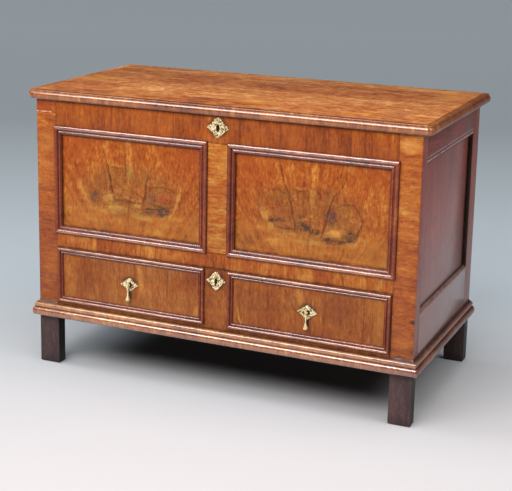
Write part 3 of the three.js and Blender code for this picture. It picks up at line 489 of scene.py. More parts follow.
class Grain:
    """The figure of one wood: its colour, and the height of its fibres and pores."""

    def __init__(self, graph, axis, tones, seed, figure=0.2, shade=0, contrast=1, point=None,
                 pore="2a120a", blotch=BLOTCH, cloudy=CLOUD):
        def scaled(along, across, detail=4, **settings):
            offset = (seed * 1.7, seed * 2.3, seed * 3.1)
            return graph.streaks(scales(axis, along, across), detail, offset, point, **settings)

        self.graph = graph
        broad = scaled(1.6, 9, 3, distortion=0.4)
        rings = graph.math("SINE", broad * 46)
        fibre = scaled(22, 620, 2)
        pores = scaled(75, 1100, 1).between(0.6, 0.74)
        pencil = scaled(2.5, 130, 1).between(0.66, 0.74)
        swings = (
            (broad, 0.2),
            (graph.noise(7, 4), cloudy),
            (scaled(3, 110, roughness=0.65), 0.2),
            (scaled(60, 150, roughness=0.7), 0.54),
            (scaled(*blotch[:2], 5, roughness=0.7), blotch[2]),
            (fibre, 0.28),
        )
        self.tone = rings * (figure * 0.12) + shade + 0.5
        for swing, weight in swings:
            self.tone += (swing - 0.5) * (weight * contrast)
        self.colour = graph.ramp(self.tone, *tones)
        self.tint(pores, pore, 0.5)
        self.tint(pencil, pore, 0.35)
        self.height = fibre * 0.5 - pores * 0.8 + rings * 0.08

    def tint(self, mask, code, amount):
        factor = self.graph.math("MULTIPLY", mask, amount, clamp=True)
        self.colour = self.graph.mix(factor, self.colour, code)

    def curves(self, along, across, marks, code, **looks):
        for mark in marks:
            self.tint(self.graph.curve(along, across, mark, **looks), code, mark[-1])

    def spots(self, u, v, marks, uneven):
        for *spot, code, amount in marks:
            self.tint(self.graph.spot(u, v, *spot) * uneven, code, amount)


def leaves(graph, coordinate, width, start, spread=0.1):
    """Veneer laid in leaves side by side: a number and a tone for each, and the dark joints."""
    place = (coordinate - start) / width
    leaf, within = graph.math("FLOOR", place), graph.math("FRACT", place)
    edge = graph.math("MINIMUM", within, 1 - within)
    tone = graph.chance(leaf) * spread - spread / 2
    return leaf, tone, edge.between(0.0005 / width, 0.0001 / width)


def edge_distance(graph, axes, low, high):
    """How far off the nearest edge across any of the axes is."""
    nearest = None
    for axis in axes:
        for gap in (graph.place[axis] - low[axis], high[axis] - graph.place[axis]):
            nearest = graph.math("MINIMUM", nearest, gap) if nearest else gap
    return nearest


def edge_grime_and_shade(graph, distance, reach):
    """Dirt and painted shade held along an edge, broken up by noise."""
    return distance.between(reach, 0) * graph.noise(60, 4).between(0.3, 0.7)


def scratches(graph, axis):
    fine = graph.streaks(scales(axis, 9, 380), 1)
    return fine.between(0.66, 0.72) * graph.noise(14, 2).between(0.45, 0.7)


def polish(graph, low=0.26, high=0.44):
    """Roughness of an old wax finish, duller in patches."""
    return graph.noise(11, 4) * (high - low) + low


def add_marks(graph, grain, veins=(), bands=(), seams=(), plates=(), stains=()):
    """Dark veins and light bands that climb, dark seams that cross, and dirt and painted shade round
    each plate.
    """
    x, _, z = graph.place
    ripple = graph.noise(45) * 0.012 - 0.006
    across, level = x + ripple, z + ripple * 0.4
    grain.curves(z, across, veins, "3a1a0a")
    grain.curves(x, level, seams, "3a1a0a")
    grain.curves(z, across, bands, "cc8a3c", fade=BAND_FADE)
    grain.spots(x, z, stains, graph.noise(22, 4) * 1.2 - 0.1)
    # Dark round each plate: dirt and painted shade; under a pull drop, its painted shadow.
    for spot in plates:
        grain.tint(graph.spot(x, z, *spot), "1c0c06", 0.9)


def bare_inside(graph, grain, polished="front"):
    """Plain wood on each face but the polished one: the front, the side, or the lid's top."""
    x, _, z = graph.place
    facing = graph.facing()
    if polished == "top":
        bare = z.between(LID_BOTTOM + 0.004, LID_BOTTOM + 0.001)
    elif polished == "side":
        bare = (x * facing[0]).between(0.25, 0.1)
    else:
        bare = facing[1].between(-0.5, -0.2)
    grain.colour = graph.mix(bare, grain.colour, graph.ramp(grain.tone, *PLAIN_OAK))


def flat_wood(name, node, axis, tones, seed, leaf=None, edges=(0, 2), figure=0.2, gloss=0.06,
              shade=0, specular=0.25, contrast=1, lines=(), grime_and_shade_reach=0.006, patches=(),
              blotch=BLOTCH, cloudy=CLOUD, dust_and_sheen=None, dirt_and_shade_below=False, polished=None, **marks):
    """Polished wood on one piece, darker along its edges; without edges it suits several.

    A leaf is (axis, width, start) of its veneers. Lines are scratched ones, moulded ones drawn
    as a painted highlight and a painted shade line, and painted shadows, each (axis, place, half
    width, colour, amount), and patches are stains seen from above. Dust and sheen is (low, high):
    paler below, dust and a painted sheen, clean above. Dirt and shade below blackens what faces
    the ground: dirt, and painted shade. A piece that is polished on one face alone names it.
    """
    graph = Graph(name)
    x, y, z = graph.place
    point = graph.point
    if leaf:
        leaf_axis, width, start = leaf
        number, tone, joint = leaves(graph, graph.place[leaf_axis], width, start)
        point = graph.add("VectorMath", {0: point, 1: graph.vector(number * 3.7, number, 0)})
        shade = tone + shade
    grain = Grain(graph, axis, tones, seed, figure, shade, contrast, point, blotch=blotch,
                  cloudy=cloudy)
    if leaf:
        grain.tint(joint, JOINT, 0.5)
    if marks:
        add_marks(graph, grain, **marks)
    # Paler low down: dust, and a painted sheen.
    if dust_and_sheen:
        grain.tint(z.between(dust_and_sheen[1], dust_and_sheen[0]), DUST_AND_SHEEN, 0.5)
    # Near black on faces towards the ground: dirt, and painted shade under the chest.
    if dirt_and_shade_below:
        grain.tint(graph.facing()[2].between(-0.4, -0.8), "0c0807", 0.93)
    if patches:
        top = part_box(node)[1][2]
        ragged = (graph.noise(40, 4) * 1.6 - 0.3) * z.between(top - 0.008, top - 0.003)
        grain.spots(x, y, patches, ragged)
    # Lines hold scratches, a moulded edge's painted highlight and shade line, and painted shadows.
    for line_axis, place, half, code, amount in lines:
        near = graph.place[line_axis].near(place, half)
        if half < WIDE_LINE:
            near *= graph.noise(90, 4).between(0.36, 0.52)
        grain.tint(near, code, amount)
    # Darker along the edges: dirt and painted shade.
    if edges:
        distance = edge_distance(graph, edges, *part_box(node))
        grain.tint(edge_grime_and_shade(graph, distance, grime_and_shade_reach), "1c0c07", 0.8)
    if polished:
        bare_inside(graph, grain, polished)
    grain.tint(scratches(graph, axis), "2d140a", 0.35)
    return graph.surface(grain.colour, polish(graph), grain.height, coat=gloss,
                         coat_roughness=0.18, specular=specular)


def post_wood(name, node, seed, front, patch=None, knot=None, start=0.392, spots=()):
    """A corner post: veneered in front, stained at the side, and plain dark oak at the foot.

    A patch is let in beyond (sideways, height), and a knot lies at (sideways, height).
    """
    graph = Graph(name)
    x, y, height = graph.place
    number, tone, joint = leaves(graph, height, STILE_LEAF, start)
    point = graph.vector(x + number * 2.1, y, height)
    stile = Grain(graph, 0, WALNUT, seed, 0.35, tone, point=point)
    flank = Grain(graph, 2, SIDE, seed + 1)
    oak = Grain(graph, 2, FOOT_OAK, seed + 2, 0.5, pore="0c0807")
    sideways, forward, _ = graph.facing()
    in_front = forward.between(-0.5, -0.8)
    is_foot = height.between(FOOT + 0.002, FOOT - 0.004)
    stile.tint(joint, JOINT, 0.35)
    distance = edge_distance(graph, (0, 2), *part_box(node))
    # Darker along the edges: dirt and painted shade.
    stile.tint(edge_grime_and_shade(graph, distance, 0.005), "241009", 0.4)
    # Painted shade: the stile darker towards the foot.
    stile.tint(height.between(0.26, FOOT + 0.04) * graph.noise(24), "3a1a0e", 0.2)
    stile.spots(x, height, spots, graph.noise(34, 5) * 1.8 - 0.4)
    if patch:
        side, sill = patch
        inside = x.between(side, side - 0.002) * height.between(sill, sill + 0.002)
        stile.tint(inside, "86330f", 0.45)
        chipped = graph.noise(120).between(0.35, 0.6)
        stile.tint(height.near(sill + 0.003, 0.0024) * inside * chipped, "f0b890", 0.8)
    if knot:
        stile.tint(graph.spot(x, height, *knot, 0.016, 0.007) * graph.noise(90), "200c08", 1.8)
    # Paler low down: dust, and a painted sheen.
    flank.tint(height.between(0.5, 0.2), DUST_AND_SHEEN, 0.5)
    bare_inside(graph, flank, "side")
    if front:
        colour = graph.mix(in_front, flank.colour, stile.colour)
    else:
        # Painted shade: a rear post's front faces beside the recessed side panel near black.
        recess_shade = abs(x).between(HALF_WIDTH - 0.018, HALF_WIDTH - 0.012)
        flank.tint(in_front * recess_shade, "080403", 0.92)
        colour = flank.colour
    oak.tint(height.between(0.03, 0) * graph.noise(80), "0c0908", 1)
    # Painted shade: the feet's faces towards +x near black.
    oak.tint(sideways.between(0.5, 0.8), "0a0606", 0.92)
    colour = graph.mix(is_foot, colour, oak.colour)
    return graph.surface(colour, is_foot * 0.23 + 0.32, stile.height + oak.height, specular=0.4)


def moulding_wood(name, tones, seed, gloss, low, segment=0.085, grooves=(), crest=None, ripple=2,
                  sides=0, specular=0.5, dirt_and_shade_tone="100604", coat_ior=1.5):
    """Cross-grained moulding, glued up in short lengths; its map runs along, then across.

    Grooves are (place across, half width) where dirt and painted shade lie, and a crest (low,
    high, colour) is the part that polishing has worn lighter, lightened too as a painted highlight.
    """
    graph = Graph(name)
    along, across, run = graph.parts(graph.add("TexCoord", output="UV"))
    place = along + graph.noise(4, 1, point=graph.vector(along, run, 0)) * 0.05
    number, tone, joint = leaves(graph, place, segment, seed * segment, 0.16)
    point = graph.vector(along + number * 2.3, across, run)
    grain = Grain(graph, 1, tones, seed, 0.3, tone, point=point)
    wave = graph.noise(1, point=graph.vector(along * 30 - across * 70, across * 70, run))
    coat, rough = gloss, polish(graph, low, low + 0.16)
    # The crest: worn lighter by polishing, and a painted highlight broken by the ripple.
    if crest:
        start, stop, code = crest
        worn = across.near((start + stop) / 2, (stop - start) / 2) * wave.between(0.3, 0.6)
        grain.tint(worn, code, 0.5)
    # Painted shade on faces turned sideways and down, which also lose gloss.
    if sides:
        sideways, _, upward = graph.facing()
        below = upward.between(-0.2, -0.8)
        turned = graph.math("MAXIMUM", abs(sideways).between(0.1, 0.6), below)
        grain.tint(turned, "3c1810", sides)
        coat = (1 - turned * 0.8) * gloss
    grain.tint(joint, "1a0b08", 0.6)
    grain.tint(graph.noise(35, 4).between(0.6, 0.8), "22100c", 0.45)
    # In each groove: dirt and painted shade, and less gloss.
    for groove, half in grooves:
        dirt = across.near(groove, half) * (graph.noise(60, 2) * 0.8 + 0.6)
        grain.tint(dirt, dirt_and_shade_tone, 0.75)
        coat = graph.math("SUBTRACT", 1, dirt, clamp=True) * coat
        rough += dirt * 0.4
    return graph.surface(grain.colour, rough, grain.height * 0.4 + wave * ripple, 0.0006, coat,
                         0.1, specular, coat_ior=coat_ior)


def burr_panel(name, node, seed, marks):
    """Burr walnut: streaks that rise from a bowl, with veins, bright leaves and dark burrs."""
    graph = Graph(name)
    low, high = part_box(node)
    (middle_x, middle_z), _ = seen_in_front(node)
    x, _, z = graph.place
    wander = graph.streaks((14, 1, 14), 3, (seed, 0, 0))
    ripple = graph.streaks((60, 1, 60), 4, (0, 0, seed))
    u = x - middle_x + wander * 0.016 + ripple * 0.007 - 0.0115
    v = z - middle_z - wander * 0.016 + ripple * 0.01 + 0.003

    fan, rise = graph.math("ARCTAN2", u, v + 0.34), v * 2.2 + seed
    streaks = graph.noise(1.8, 5, point=graph.vector(fan * 17, rise, seed))
    fine = graph.noise(2.4, 4, point=graph.vector(fan * 110, rise, seed))
    flecks = graph.streaks((170, 1, 70), roughness=0.75)
    mottle = graph.noise(34, 6, 0.78)
    curls = graph.noise(45, 4, distortion=2.2)
    lower = v.between(-0.02, -0.075)
    rays = (streaks + fine - 1) * (0.3 - lower * 0.21)
    clouds = lower * (graph.streaks((14, 1, 55), 4, (0, seed, 0)) - 0.5)
    bowl_u, bowl_v = u / 0.14, (v + 0.012) / 0.07
    bowl = graph.math("SQRT", bowl_u * bowl_u + bowl_v * bowl_v)
    inside = bowl.between(1.15, 0.7)

    grain = Grain(graph, 2, WALNUT, seed, 0.05)
    tone = grain.tone * 0.4 + flecks * 0.75 + mottle * 0.5 + clouds * 0.7 + rays - 0.325
    tone += inside * (curls - 0.5) * 0.5
    for mark in marks["bands"]:
        tone += graph.curve(v, u, mark, fade=BAND_FADE) * mark[-1]
    for *spot, amount in marks["leaves"]:
        tone += graph.spot(u, v, *spot) * curls.between(0.3, 0.6) * amount
    golden = lower * (streaks.between(0.3, 0.7) * 0.5 + 0.15)
    grain.colour = graph.mix(golden, graph.ramp(tone, *WALNUT), "a86c28")
    grain.tint(v.between(0.02, 0.1) * abs(u).between(0.06, 0.17), "8e3a12", 0.45)
    grain.tint(bowl.between(1.25, 0.8) * mottle.between(0.35, 0.6), "704c20", 0.5)
    pepper = graph.noise(330, 2).between(0.6, 0.72)
    grain.tint(pepper * (bowl.between(1.5, 0.6) * 0.6 + 0.25), "3a1c0c", 0.7)
    smudge = graph.noise(75, 5, 0.7).between(0.4, 0.56) + 0.2
    specks = graph.noise(130, 4, 0.7).between(0.5, 0.66)
    grain.tint(specks * inside, "47240e", 0.3)
    for *spot, code, amount in marks["burrs"]:
        burr = graph.spot(u, v, *spot)
        grain.tint(burr * smudge, code, amount)
        grain.tint(burr * specks, "26150c", amount * 0.95)
    grain.spots(u, v, marks["lights"], curls * 1.6 - 0.2)
    grain.curves(v, u, marks["veins"], "3e1c0a", widen=BURR_WIDER)
    grain.curves(u, v, marks["seams"], "3e1c0a", widen=BURR_WIDER)
    # Darker inside the frame: dirt and painted shade.
    sight_low, sight_high = [a + FRAME_SIGHT for a in low], [a - FRAME_SIGHT for a in high]
    distance = edge_distance(graph, (0, 2), sight_low, sight_high)
    grain.tint(edge_grime_and_shade(graph, distance, 0.009), "2a130a", 0.6)
    bare_inside(graph, grain)
    return graph.surface(grain.colour, polish(graph, 0.3, 0.46), grain.height, 0.0003, 0.06,
                         0.14, 0.25)


# Metal


def brass_material(name, chased=False, dark=()):
    """Old brass, chased with a small ornament, and dark at spots (x, z, half width, half height): dirt
    and painted shade.
    """
    graph = Graph(name)
    x, _, z = graph.place
    cloud = graph.noise(130, 5)
    tarnish = graph.noise(320, 4, distortion=0.6).between(0.5, 0.7)
    height = (cloud - tarnish) * 0.4
    if chased:
        relief = graph.noise(210, 2, 0.4, 1.2)
        colour = graph.ramp(relief, *CHASING)
        height += relief * 2
    else:
        colour = graph.ramp(cloud, *BRASS)
    colour = graph.mix(tarnish * 0.35, colour, "6a5026")
    # Dark spots by a keyhole and by a pull post: dirt and painted shade.
    for spot in dark:
        dirt_and_shade_spot = graph.math("MULTIPLY", graph.spot(x, z, *spot), 1.6, clamp=True)
        colour = graph.mix(dirt_and_shade_spot, colour, "0c0803")
    return graph.surface(colour, cloud * 0.25 + 0.2, height, 0.0005, metallic=0.5)


def iron_material(name):
    graph = Graph(name)
    cloud = graph.noise(90, 5)
    rust = graph.noise(45, 5).between(0.5, 0.66)
    colour = graph.mix(rust * 0.6, graph.ramp(cloud, *IRON), "5a3220")
    return graph.surface(colour, cloud * 0.3 + 0.42, cloud, 0.0006, metallic=0.7)


# Pieces


BODY_OF = {
    node: body for body, nodes in frame["record"]["behaviour"]["bodies"].items() for node in nodes
}
SLOT_OF = {entry["node"]: entry["material_slot"] for entry in frame["record"]["subparts"]}


def in_scene(name, data):
    """An object of the scene for a mesh, a light or a camera."""
    item = bpy.data.objects.new(name, data)
    bpy.context.scene.collection.objects.link(item)
    return item


def as_object(name, bm, *materials):
    mesh = bpy.data.meshes.new(name)
    bm.to_mesh(mesh)
    bm.free()
    for material in materials:
        mesh.materials.append(material)
    return in_scene(name, mesh)


def finish_piece(name, bm, node, *materials, added=False, slot=None):
    """Makes the object and seats it on its node's body; unless it is added, it stands for the node."""
    bmesh.ops.recalc_face_normals(bm, faces=bm.faces)
    for face in bm.faces:
        face.smooth = True
    for edge in bm.edges:
        if len(edge.link_faces) == 2 and edge.calc_face_angle(0) > SHARP:
            edge.smooth = False
    piece = as_object(name, bm, *materials)
    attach(piece, BODY_OF[node])
    if not added:
        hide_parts(node)
    slot or SLOT_OF[node]


def dress(node, material, arris=ARRIS):
    """Stands for a solid with eased edges, which catch the light as worn ones do."""
    bm = bmesh.new()
    bm.from_mesh(frame["nodes"][node].data)
    bmesh.ops.remove_doubles(bm, verts=bm.verts, dist=1e-6)
    bmesh.ops.dissolve_limit(bm, angle_limit=0.01, verts=bm.verts, edges=bm.edges)
    edges = [e for e in bm.edges if len(e.link_faces) == 2 and abs(e.calc_face_angle(0)) > SHARP]
    if arris:
        bmesh.ops.bevel(bm, geom=edges, offset=arris, segments=2, affect="EDGES",
                        clamp_overlap=True, profile=0.6)
    finish_piece(node + "_dressed", bm, node, material)


def arc(centre, radii, start, stop, steps=ARC_STEPS):
    """Points of an elliptical arc; angles in quarter turns."""
    turns = [(start + (stop - start) * i / steps) * math.pi / 2 for i in range(steps + 1)]
    return [(centre[0] + radii[0] * math.cos(turn), centre[1] + radii[1] * math.sin(turn))
            for turn in turns]


def skin(bm, profile, shares, point_of, map_of, material=0):
    """A solid through one copy of the profile for each share of its length, with its map."""
    layer = bm.loops.layers.uv.verify()
    rings = [[bm.verts.new(point_of(share, *place)) for place in profile] for share in shares]
    for i, (here, there) in enumerate(zip(rings, rings[1:])):
        for j in range(len(profile) - 1):
            face = bm.faces.new((here[j], there[j], there[j + 1], here[j + 1]))
            face.material_index = material
            places = ((i, j), (i + 1, j), (i + 1, j + 1), (i, j + 1))
            for loop, (a, b) in zip(face.loops, places):
                loop[layer].uv = map_of(shares[a], b)
        bm.faces.new((there[0], there[-1], here[-1], here[0]))
    bm.faces.new(rings[0])
    bm.faces.new(rings[-1][::-1])


def sweep(bm, profile, start, stop, out, mitres, run):
    """A length of moulding, mitred at its ends, with a planed surface that isn't quite true."""
    start, stop, out = Vector(start), Vector(stop), Vector(out)
    along, length = (stop - start).normalized(), (stop - start).length
    count = max(2, round(length / SWEEP_STEP))
    finer = [CORNER_STEP * i / length for i in range(1, CORNER_RINGS)]
    shares = {*finer, *(1 - share for share in finer), *(i / count for i in range(count + 1))}
    around = [0.0]
    for a, b in zip(profile, profile[1:]):
        around.append(around[-1] + math.dist(a, b))

    def point_of(share, reach, height):
        shift = reach * (mitres[1] * share - mitres[0] * (1 - share))
        wave = noise.noise(Vector((length * share * 38 + run * 7, height * 90, reach * 90)))
        lift = EDGE_WOBBLE * wave if 0 < share < 1 and reach > SEAM * 2 else 0
        point = start + along * (length * share + shift) + out * (reach + lift)
        return point + Vector((0, 0, height))

    def map_of(share, i):
        return length * share + run * 1.3, around[i]

    skin(bm, profile, sorted(shares), point_of, map_of)


def frame_profile(ground, lip):
    """Section of a frame moulding: (height, width) points. A lip laps over the rails."""
    total = FRAME_WIDTH + lip
    rib, channel, inner = (share * total - lip for share in FRAME_SHARES)
    rib_half, inner_half = (rib + lip) / 2, (inner - channel) / 2
    edge = [(-ground, 0), (SEAM, 0), (SEAM, -lip)] if lip else [(-ground, 0)]
    outer_rib = arc((rib_half - lip, FRAME_FILLET), (rib_half, FRAME_PROUD - FRAME_FILLET), 2, 0)
    inner_rib = arc((channel + inner_half, FRAME_CHANNEL),
                    (inner_half, FRAME_INNER_RIB - FRAME_CHANNEL), 2, 0)
    return [
        *edge,
        *((height, width) for width, height in outer_rib),
        (FRAME_CHANNEL, rib),
        (FRAME_CHANNEL, channel),
        *((height, width) for width, height in inner_rib),
        (FRAME_FILLET, inner),
        (FRAME_FILLET, FRAME_WIDTH),
        (-ground, FRAME_WIDTH),
    ]


def frame_moulding(node, ground, level, upright, lip):
    """Four mitred lengths round an opening. Heights are out of the front, widths inwards."""
    (x0, _, z0), (x1, _, z1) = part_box(node)
    corners = [Vector((x, FRONT, z)) for x, z in ((x0, z0), (x1, z0), (x1, z1), (x0, z1))]
    inwards = [Vector(a) for a in ((0, 0, 1), (-1, 0, 0), (0, 0, -1), (1, 0, 0))]
    bm = bmesh.new()
    for i, inward in enumerate(inwards):
        mitred_length(bm, frame_profile(ground, lip), corners[i], corners[(i + 1) % 4], inward, i,
                      lip)
    finish_piece(node + "_run", bm, node, level, upright)


def mitred_length(bm, profile, start, stop, inward, run, lip):
    """One side of a frame: its ends follow the width of the section, at 45 degrees."""
    along, length = (stop - start).normalized(), (stop - start).length
    count = round(length / SWEEP_STEP)

    def point_of(share, height, width):
        travel = width + (length - 2 * width) * share
        wave = noise.noise(Vector((travel * 32 - width * 70 + run * 9, width * 60, start.x * 5)))
        lift = FRAME_WOBBLE * wave if 0 < share < 1 and height > FRAME_FILLET else 0
        return start + along * travel + inward * width - Vector((0, height + lift, 0))

    def map_of(share, i):
        return length * share + run * 1.3 + start.x, profile[i][1] + lip

    skin(bm, profile, [i / count for i in range(count + 1)], point_of, map_of, run % 2)


def base_profile():
    band_top = -CAVETTO_HEIGHT - FILLET_HEIGHT
    band_bottom = band_top - BAND_HEIGHT
    torus = band_bottom - TORUS_HEIGHT / 2
    edge = CAVETTO_REACH + SEAM
    return [
        (SEAM, 0),
        *arc((edge, 0), (CAVETTO_REACH, CAVETTO_HEIGHT), 2, 3)[1:],
        (edge, band_top),
        *arc((edge, (band_top + band_bottom) / 2), (BAND_BULGE, BAND_HEIGHT / 2), 1, -1)[1:],
        *arc((TORUS_ROOT + SEAM, torus), (TORUS_REACH - TORUS_ROOT, TORUS_HEIGHT / 2), 1, -1),
        (SEAM, torus - TORUS_HEIGHT / 2),
    ]


def lid_edge_profile():
    root = LID_EDGE - NOSE_REACH
    nose = arc((root, NOSE_HEIGHT / 2), (NOSE_REACH, NOSE_HEIGHT / 2), -1, NOSE_TURN)
    top = nose[-1][1]
    ledge = root + LEDGE_REACH
    worn = arc((ledge - LEDGE_EASE, LID_THICKNESS - LEDGE_EASE), (LEDGE_EASE, LEDGE_EASE), 0, 1, 3)
    return [(0, 0), *nose, (ledge, top), *worn, (0, LID_THICKNESS)]


def wear_corners(bm, half, front, radius):
    """Rounds the two front corners in plan, as handling has done."""
    for vert in bm.verts:
        across = abs(vert.co.x) - (half - radius)
        along = (front + radius) - vert.co.y
        if across > 0 and along > 0:
            scale = max(across, along) / math.hypot(across, along)
            vert.co.x = math.copysign(half - radius + across * scale, vert.co.x)
            vert.co.y = front + radius - along * scale


def edge_runs(name, profile, half, front, rear, height, materials, nodes, corner):
    """A front length and two returns, mitred at the front corners."""
    reach = max(point[0] for point in profile)
    left, right = (-half, front, height), (half, front, height)
    runs = (
        (left, right, (0, -1, 0), (1, 1)),
        ((-half, rear, height), left, (-1, 0, 0), (0, 1)),
        (right, (half, rear, height), (1, 0, 0), (1, 0)),
    )
    for i, (node, material, run) in enumerate(zip(nodes, materials, runs)):
        bm = bmesh.new()
        sweep(bm, profile, *run, i + 1)
        if node == "base_moulding_front":
            cut_drawer_way(bm)
        wear_corners(bm, half + reach, front - reach, corner)
        finish_piece(f"{name}_{i}", bm, node, material)


def cut_drawer_way(bm):
    """Between the posts the cavetto stops at the drawer's lower edge."""
    for x in (-FRONT_INNER, FRONT_INNER):
        geometry = bm.verts[:] + bm.edges[:] + bm.faces[:]
        bmesh.ops.bisect_plane(bm, geom=geometry, plane_co=(x, 0, 0), plane_no=(1, 0, 0))
    for vert in bm.verts:
        if abs(vert.co.x) < FRONT_INNER + 1e-5 and vert.co.z > DRAWER_WAY_TOP:
            vert.co.z = DRAWER_WAY_TOP


# Floor, lights and camera


def add_floor():
    graph = Graph("studio_floor")
    x, y, _ = graph.place
    # Painted shade: the floor darkens along the camera's view, as light falls off.
    away = x * -0.394 + y * 0.919 + graph.noise(0.8, 2) * 0.2 + 0.6
    share = graph.math("DIVIDE", away, 8.7, clamp=True)
    material = graph.surface(graph.ramp(share, *STUDIO), 0.6)
    bm = bmesh.new()
    bmesh.ops.create_circle(bm, cap_ends=True, segments=96, radius=40)
    floor = as_object("studio_floor", bm, material)
    return floor


def add_light(name, place, target, size, power):
    light = bpy.data.lights.new(name, "AREA")
    light.shape = "RECTANGLE"
    light.size, light.size_y = size
    light.energy = power
    holder = in_scene(name, light)
    holder.location = place
    direction = Vector(target) - Vector(place)
    holder.rotation_euler = direction.to_track_quat("-Z", "Y").to_euler()


def add_sky_light(name, energy, tilt=(14, -16), spread=70, colour=(1, 1, 1), receiver=None):
    """Even, soft light from a wide part of the sky, on everything or on one object."""
    light = bpy.data.lights.new(name, "SUN")
    light.energy = energy
    light.color = colour
    light.angle = math.radians(spread)
    holder = in_scene(name, light)
    holder.rotation_euler = (math.radians(tilt[0]), math.radians(tilt[1]), 0)
    if receiver:
        group = bpy.data.collections.new(name + "_receiver")
        group.objects.link(receiver)
        holder.light_linking.receiver_collection = group


def add_camera():
    yaw, pitch, roll = (math.radians(a) for a in CAMERA_TURN)
    forward = Vector((math.sin(yaw) * math.cos(pitch), math.cos(yaw) * math.cos(pitch),
                      math.sin(pitch)))
    level = Vector((math.cos(yaw), -math.sin(yaw), 0))
    upright = level.cross(forward)
    right = level * math.cos(roll) + upright * math.sin(roll)
    up = upright * math.cos(roll) - level * math.sin(roll)
    camera = bpy.data.cameras.new("camera")
    camera.sensor_width = 36
    camera.lens = 92.25
    camera.shift_y = -0.12
    holder = in_scene("camera", camera)
    turn = Matrix((right, up, -forward)).transposed().to_4x4()
    holder.matrix_world = Matrix.Translation(CAMERA_PLACE) @ turn
    bpy.context.scene.camera = holder


def add_world():
    world = bpy.data.worlds.new("studio")
    world.use_nodes = True
    background = world.node_tree.nodes["Background"]
    background.inputs[0].default_value = (0.8, 0.86, 0.92, 1)
    background.inputs[1].default_value = 0.06
    bpy.context.scene.world = world
    bpy.context.scene.view_settings.view_transform = "Standard"


# The chest


def dress_all(names, material, arris=ARRIS):
    for name in names:
        dress(name, material, arris)


def both(name):
    return [name + "_left", name + "_right"]


def dress_front(name, node, axis, tones, seed, figure=0.35, **looks):
    """A veneered piece of the front, whose other faces are bare."""
    wood = flat_wood(name, node, axis, tones, seed, figure=figure, polished="front", **looks)
    dress(node, wood, FINE_ARRIS)


def plain_oak(name, axis, seed, leaf=None):
    """Unpolished boards; a leaf is (axis, width, start) of those laid side by side."""
    return flat_wood(name, None, axis, PLAIN_OAK, seed, leaf, edges=(), figure=0.5, gloss=0,
                     contrast=0.7, blotch=(5, 60, 0.1), cloudy=0.2, dirt_and_shade_below=True)


def dress_carcase():
    left, right = both("post_front")
    dress(left, post_wood("stile_left", left, 3.1, True, patch=STILE_PATCH, spots=LEFT_SPOTS),
          POST_ARRIS)
    dress(right, post_wood("stile_right", right, 8.4, True, knot=STILE_KNOT, start=0.505,
                           spots=RIGHT_SPOTS), POST_ARRIS)
    for post in both("post_rear"):
        dress(post, post_wood(post + "_wood", post, 5.3, False), 0.001)
    dress_sides()
    # The top rail is dark round its escutcheon: dirt and painted shade.
    dress_front("rail_top_wood", "rail_front_top", 2, WALNUT, 1.3, leaf=(0, 0.118, 0.352),
                edges=(2,), shade=-0.03, seams=TOP_RAIL_SEAMS, veins=TOP_RAIL_VEINS,
                plates=((0, LID_KEY_Z - KEY_MIDDLE, 0.037, 0.032),))
    dress_front("rail_middle_wood", "rail_front_middle", 2, WALNUT, 4.2, leaf=(0, 0.174, 0.345),
                edges=(2,), shade=0.06, veins=MIDDLE_VEINS, bands=MIDDLE_BANDS)
    dress_front("muntin_wood", "muntin_front", 0, WALNUT, 5.5, shade=0.1, edges=(0,),
                seams=MUNTIN_SEAMS)
    left, right = both("panel_front")
    dress(left, burr_panel("panel_left_burr", left, 2.2, BURR_LEFT))
    dress(right, burr_panel("panel_right_burr", right, 6.7, BURR_RIGHT))

    for kind, ground, lip in (("panel", PANEL_RECESS - SEAM, FRAME_LIP), ("drawer", -SEAM, 0.0)):
        total = FRAME_WIDTH + lip
        rib = FRAME_SHARES[0] * total
        # Dark at the outer edge, in the channel and at the inner edge: dirt and painted shade.
        grooves = ((0, 0.0012), (rib + 0.0008, 0.0014), (total * 0.97, 0.0016))
        # Level lengths: the crest worn lighter and a painted highlight.
        level = moulding_wood(kind + "_moulding_wood", MOULDING, 1.9, gloss=1, low=0.16,
                              grooves=grooves, crest=(0, rib, "b4744a"), ripple=7, sides=0.3,
                              specular=0.6, dirt_and_shade_tone="441c12", coat_ior=1.75)
        # Upright lengths: no painted highlight, and more painted shade on faces turned sideways and
        # down.
        upright = moulding_wood(kind + "_upright_wood", UPRIGHT, 7.3, gloss=0.25, low=0.26,
                                grooves=grooves, ripple=3, sides=0.4, specular=0.35)
        for node in both(kind + "_moulding"):
            frame_moulding(node, ground, level, upright, lip)
    # Base front and returns: each crest worn lighter and a painted highlight.
    base = moulding_wood("base_moulding_wood", BASE, 4.4, segment=0.14, gloss=1, low=0.16,
                         grooves=BASE_GROOVES, crest=(0.01, 0.026, "bc8444"), ripple=4,
                         specular=0.7, coat_ior=1.8)
    returns = moulding_wood("base_return_wood", RETURN, 3.4, segment=0.14, gloss=0.3, low=0.3,
                            grooves=BASE_GROOVES, crest=(0.01, 0.026, "a88874"), ripple=3)
    edge_runs("base_run", base_profile(), HALF_WIDTH, FRONT, BACK, BASE_TOP,
              (base, returns, returns), ["base_moulding_front"] + both("base_moulding"),
              BASE_CORNER)

    dress_all(["rail_front_bottom", "rail_back_top", "back_board_lower", "back_board_upper"],
              plain_oak("long_oak", 0, 7.7))
    dress_all(both("floor_bearer") + both("drawer_runner"), plain_oak("cross_oak", 1, 5.1))
    dress("well_floor", plain_oak("floor_oak", 0, 2.9, (1, 0.171, FRONT + 0.017)))


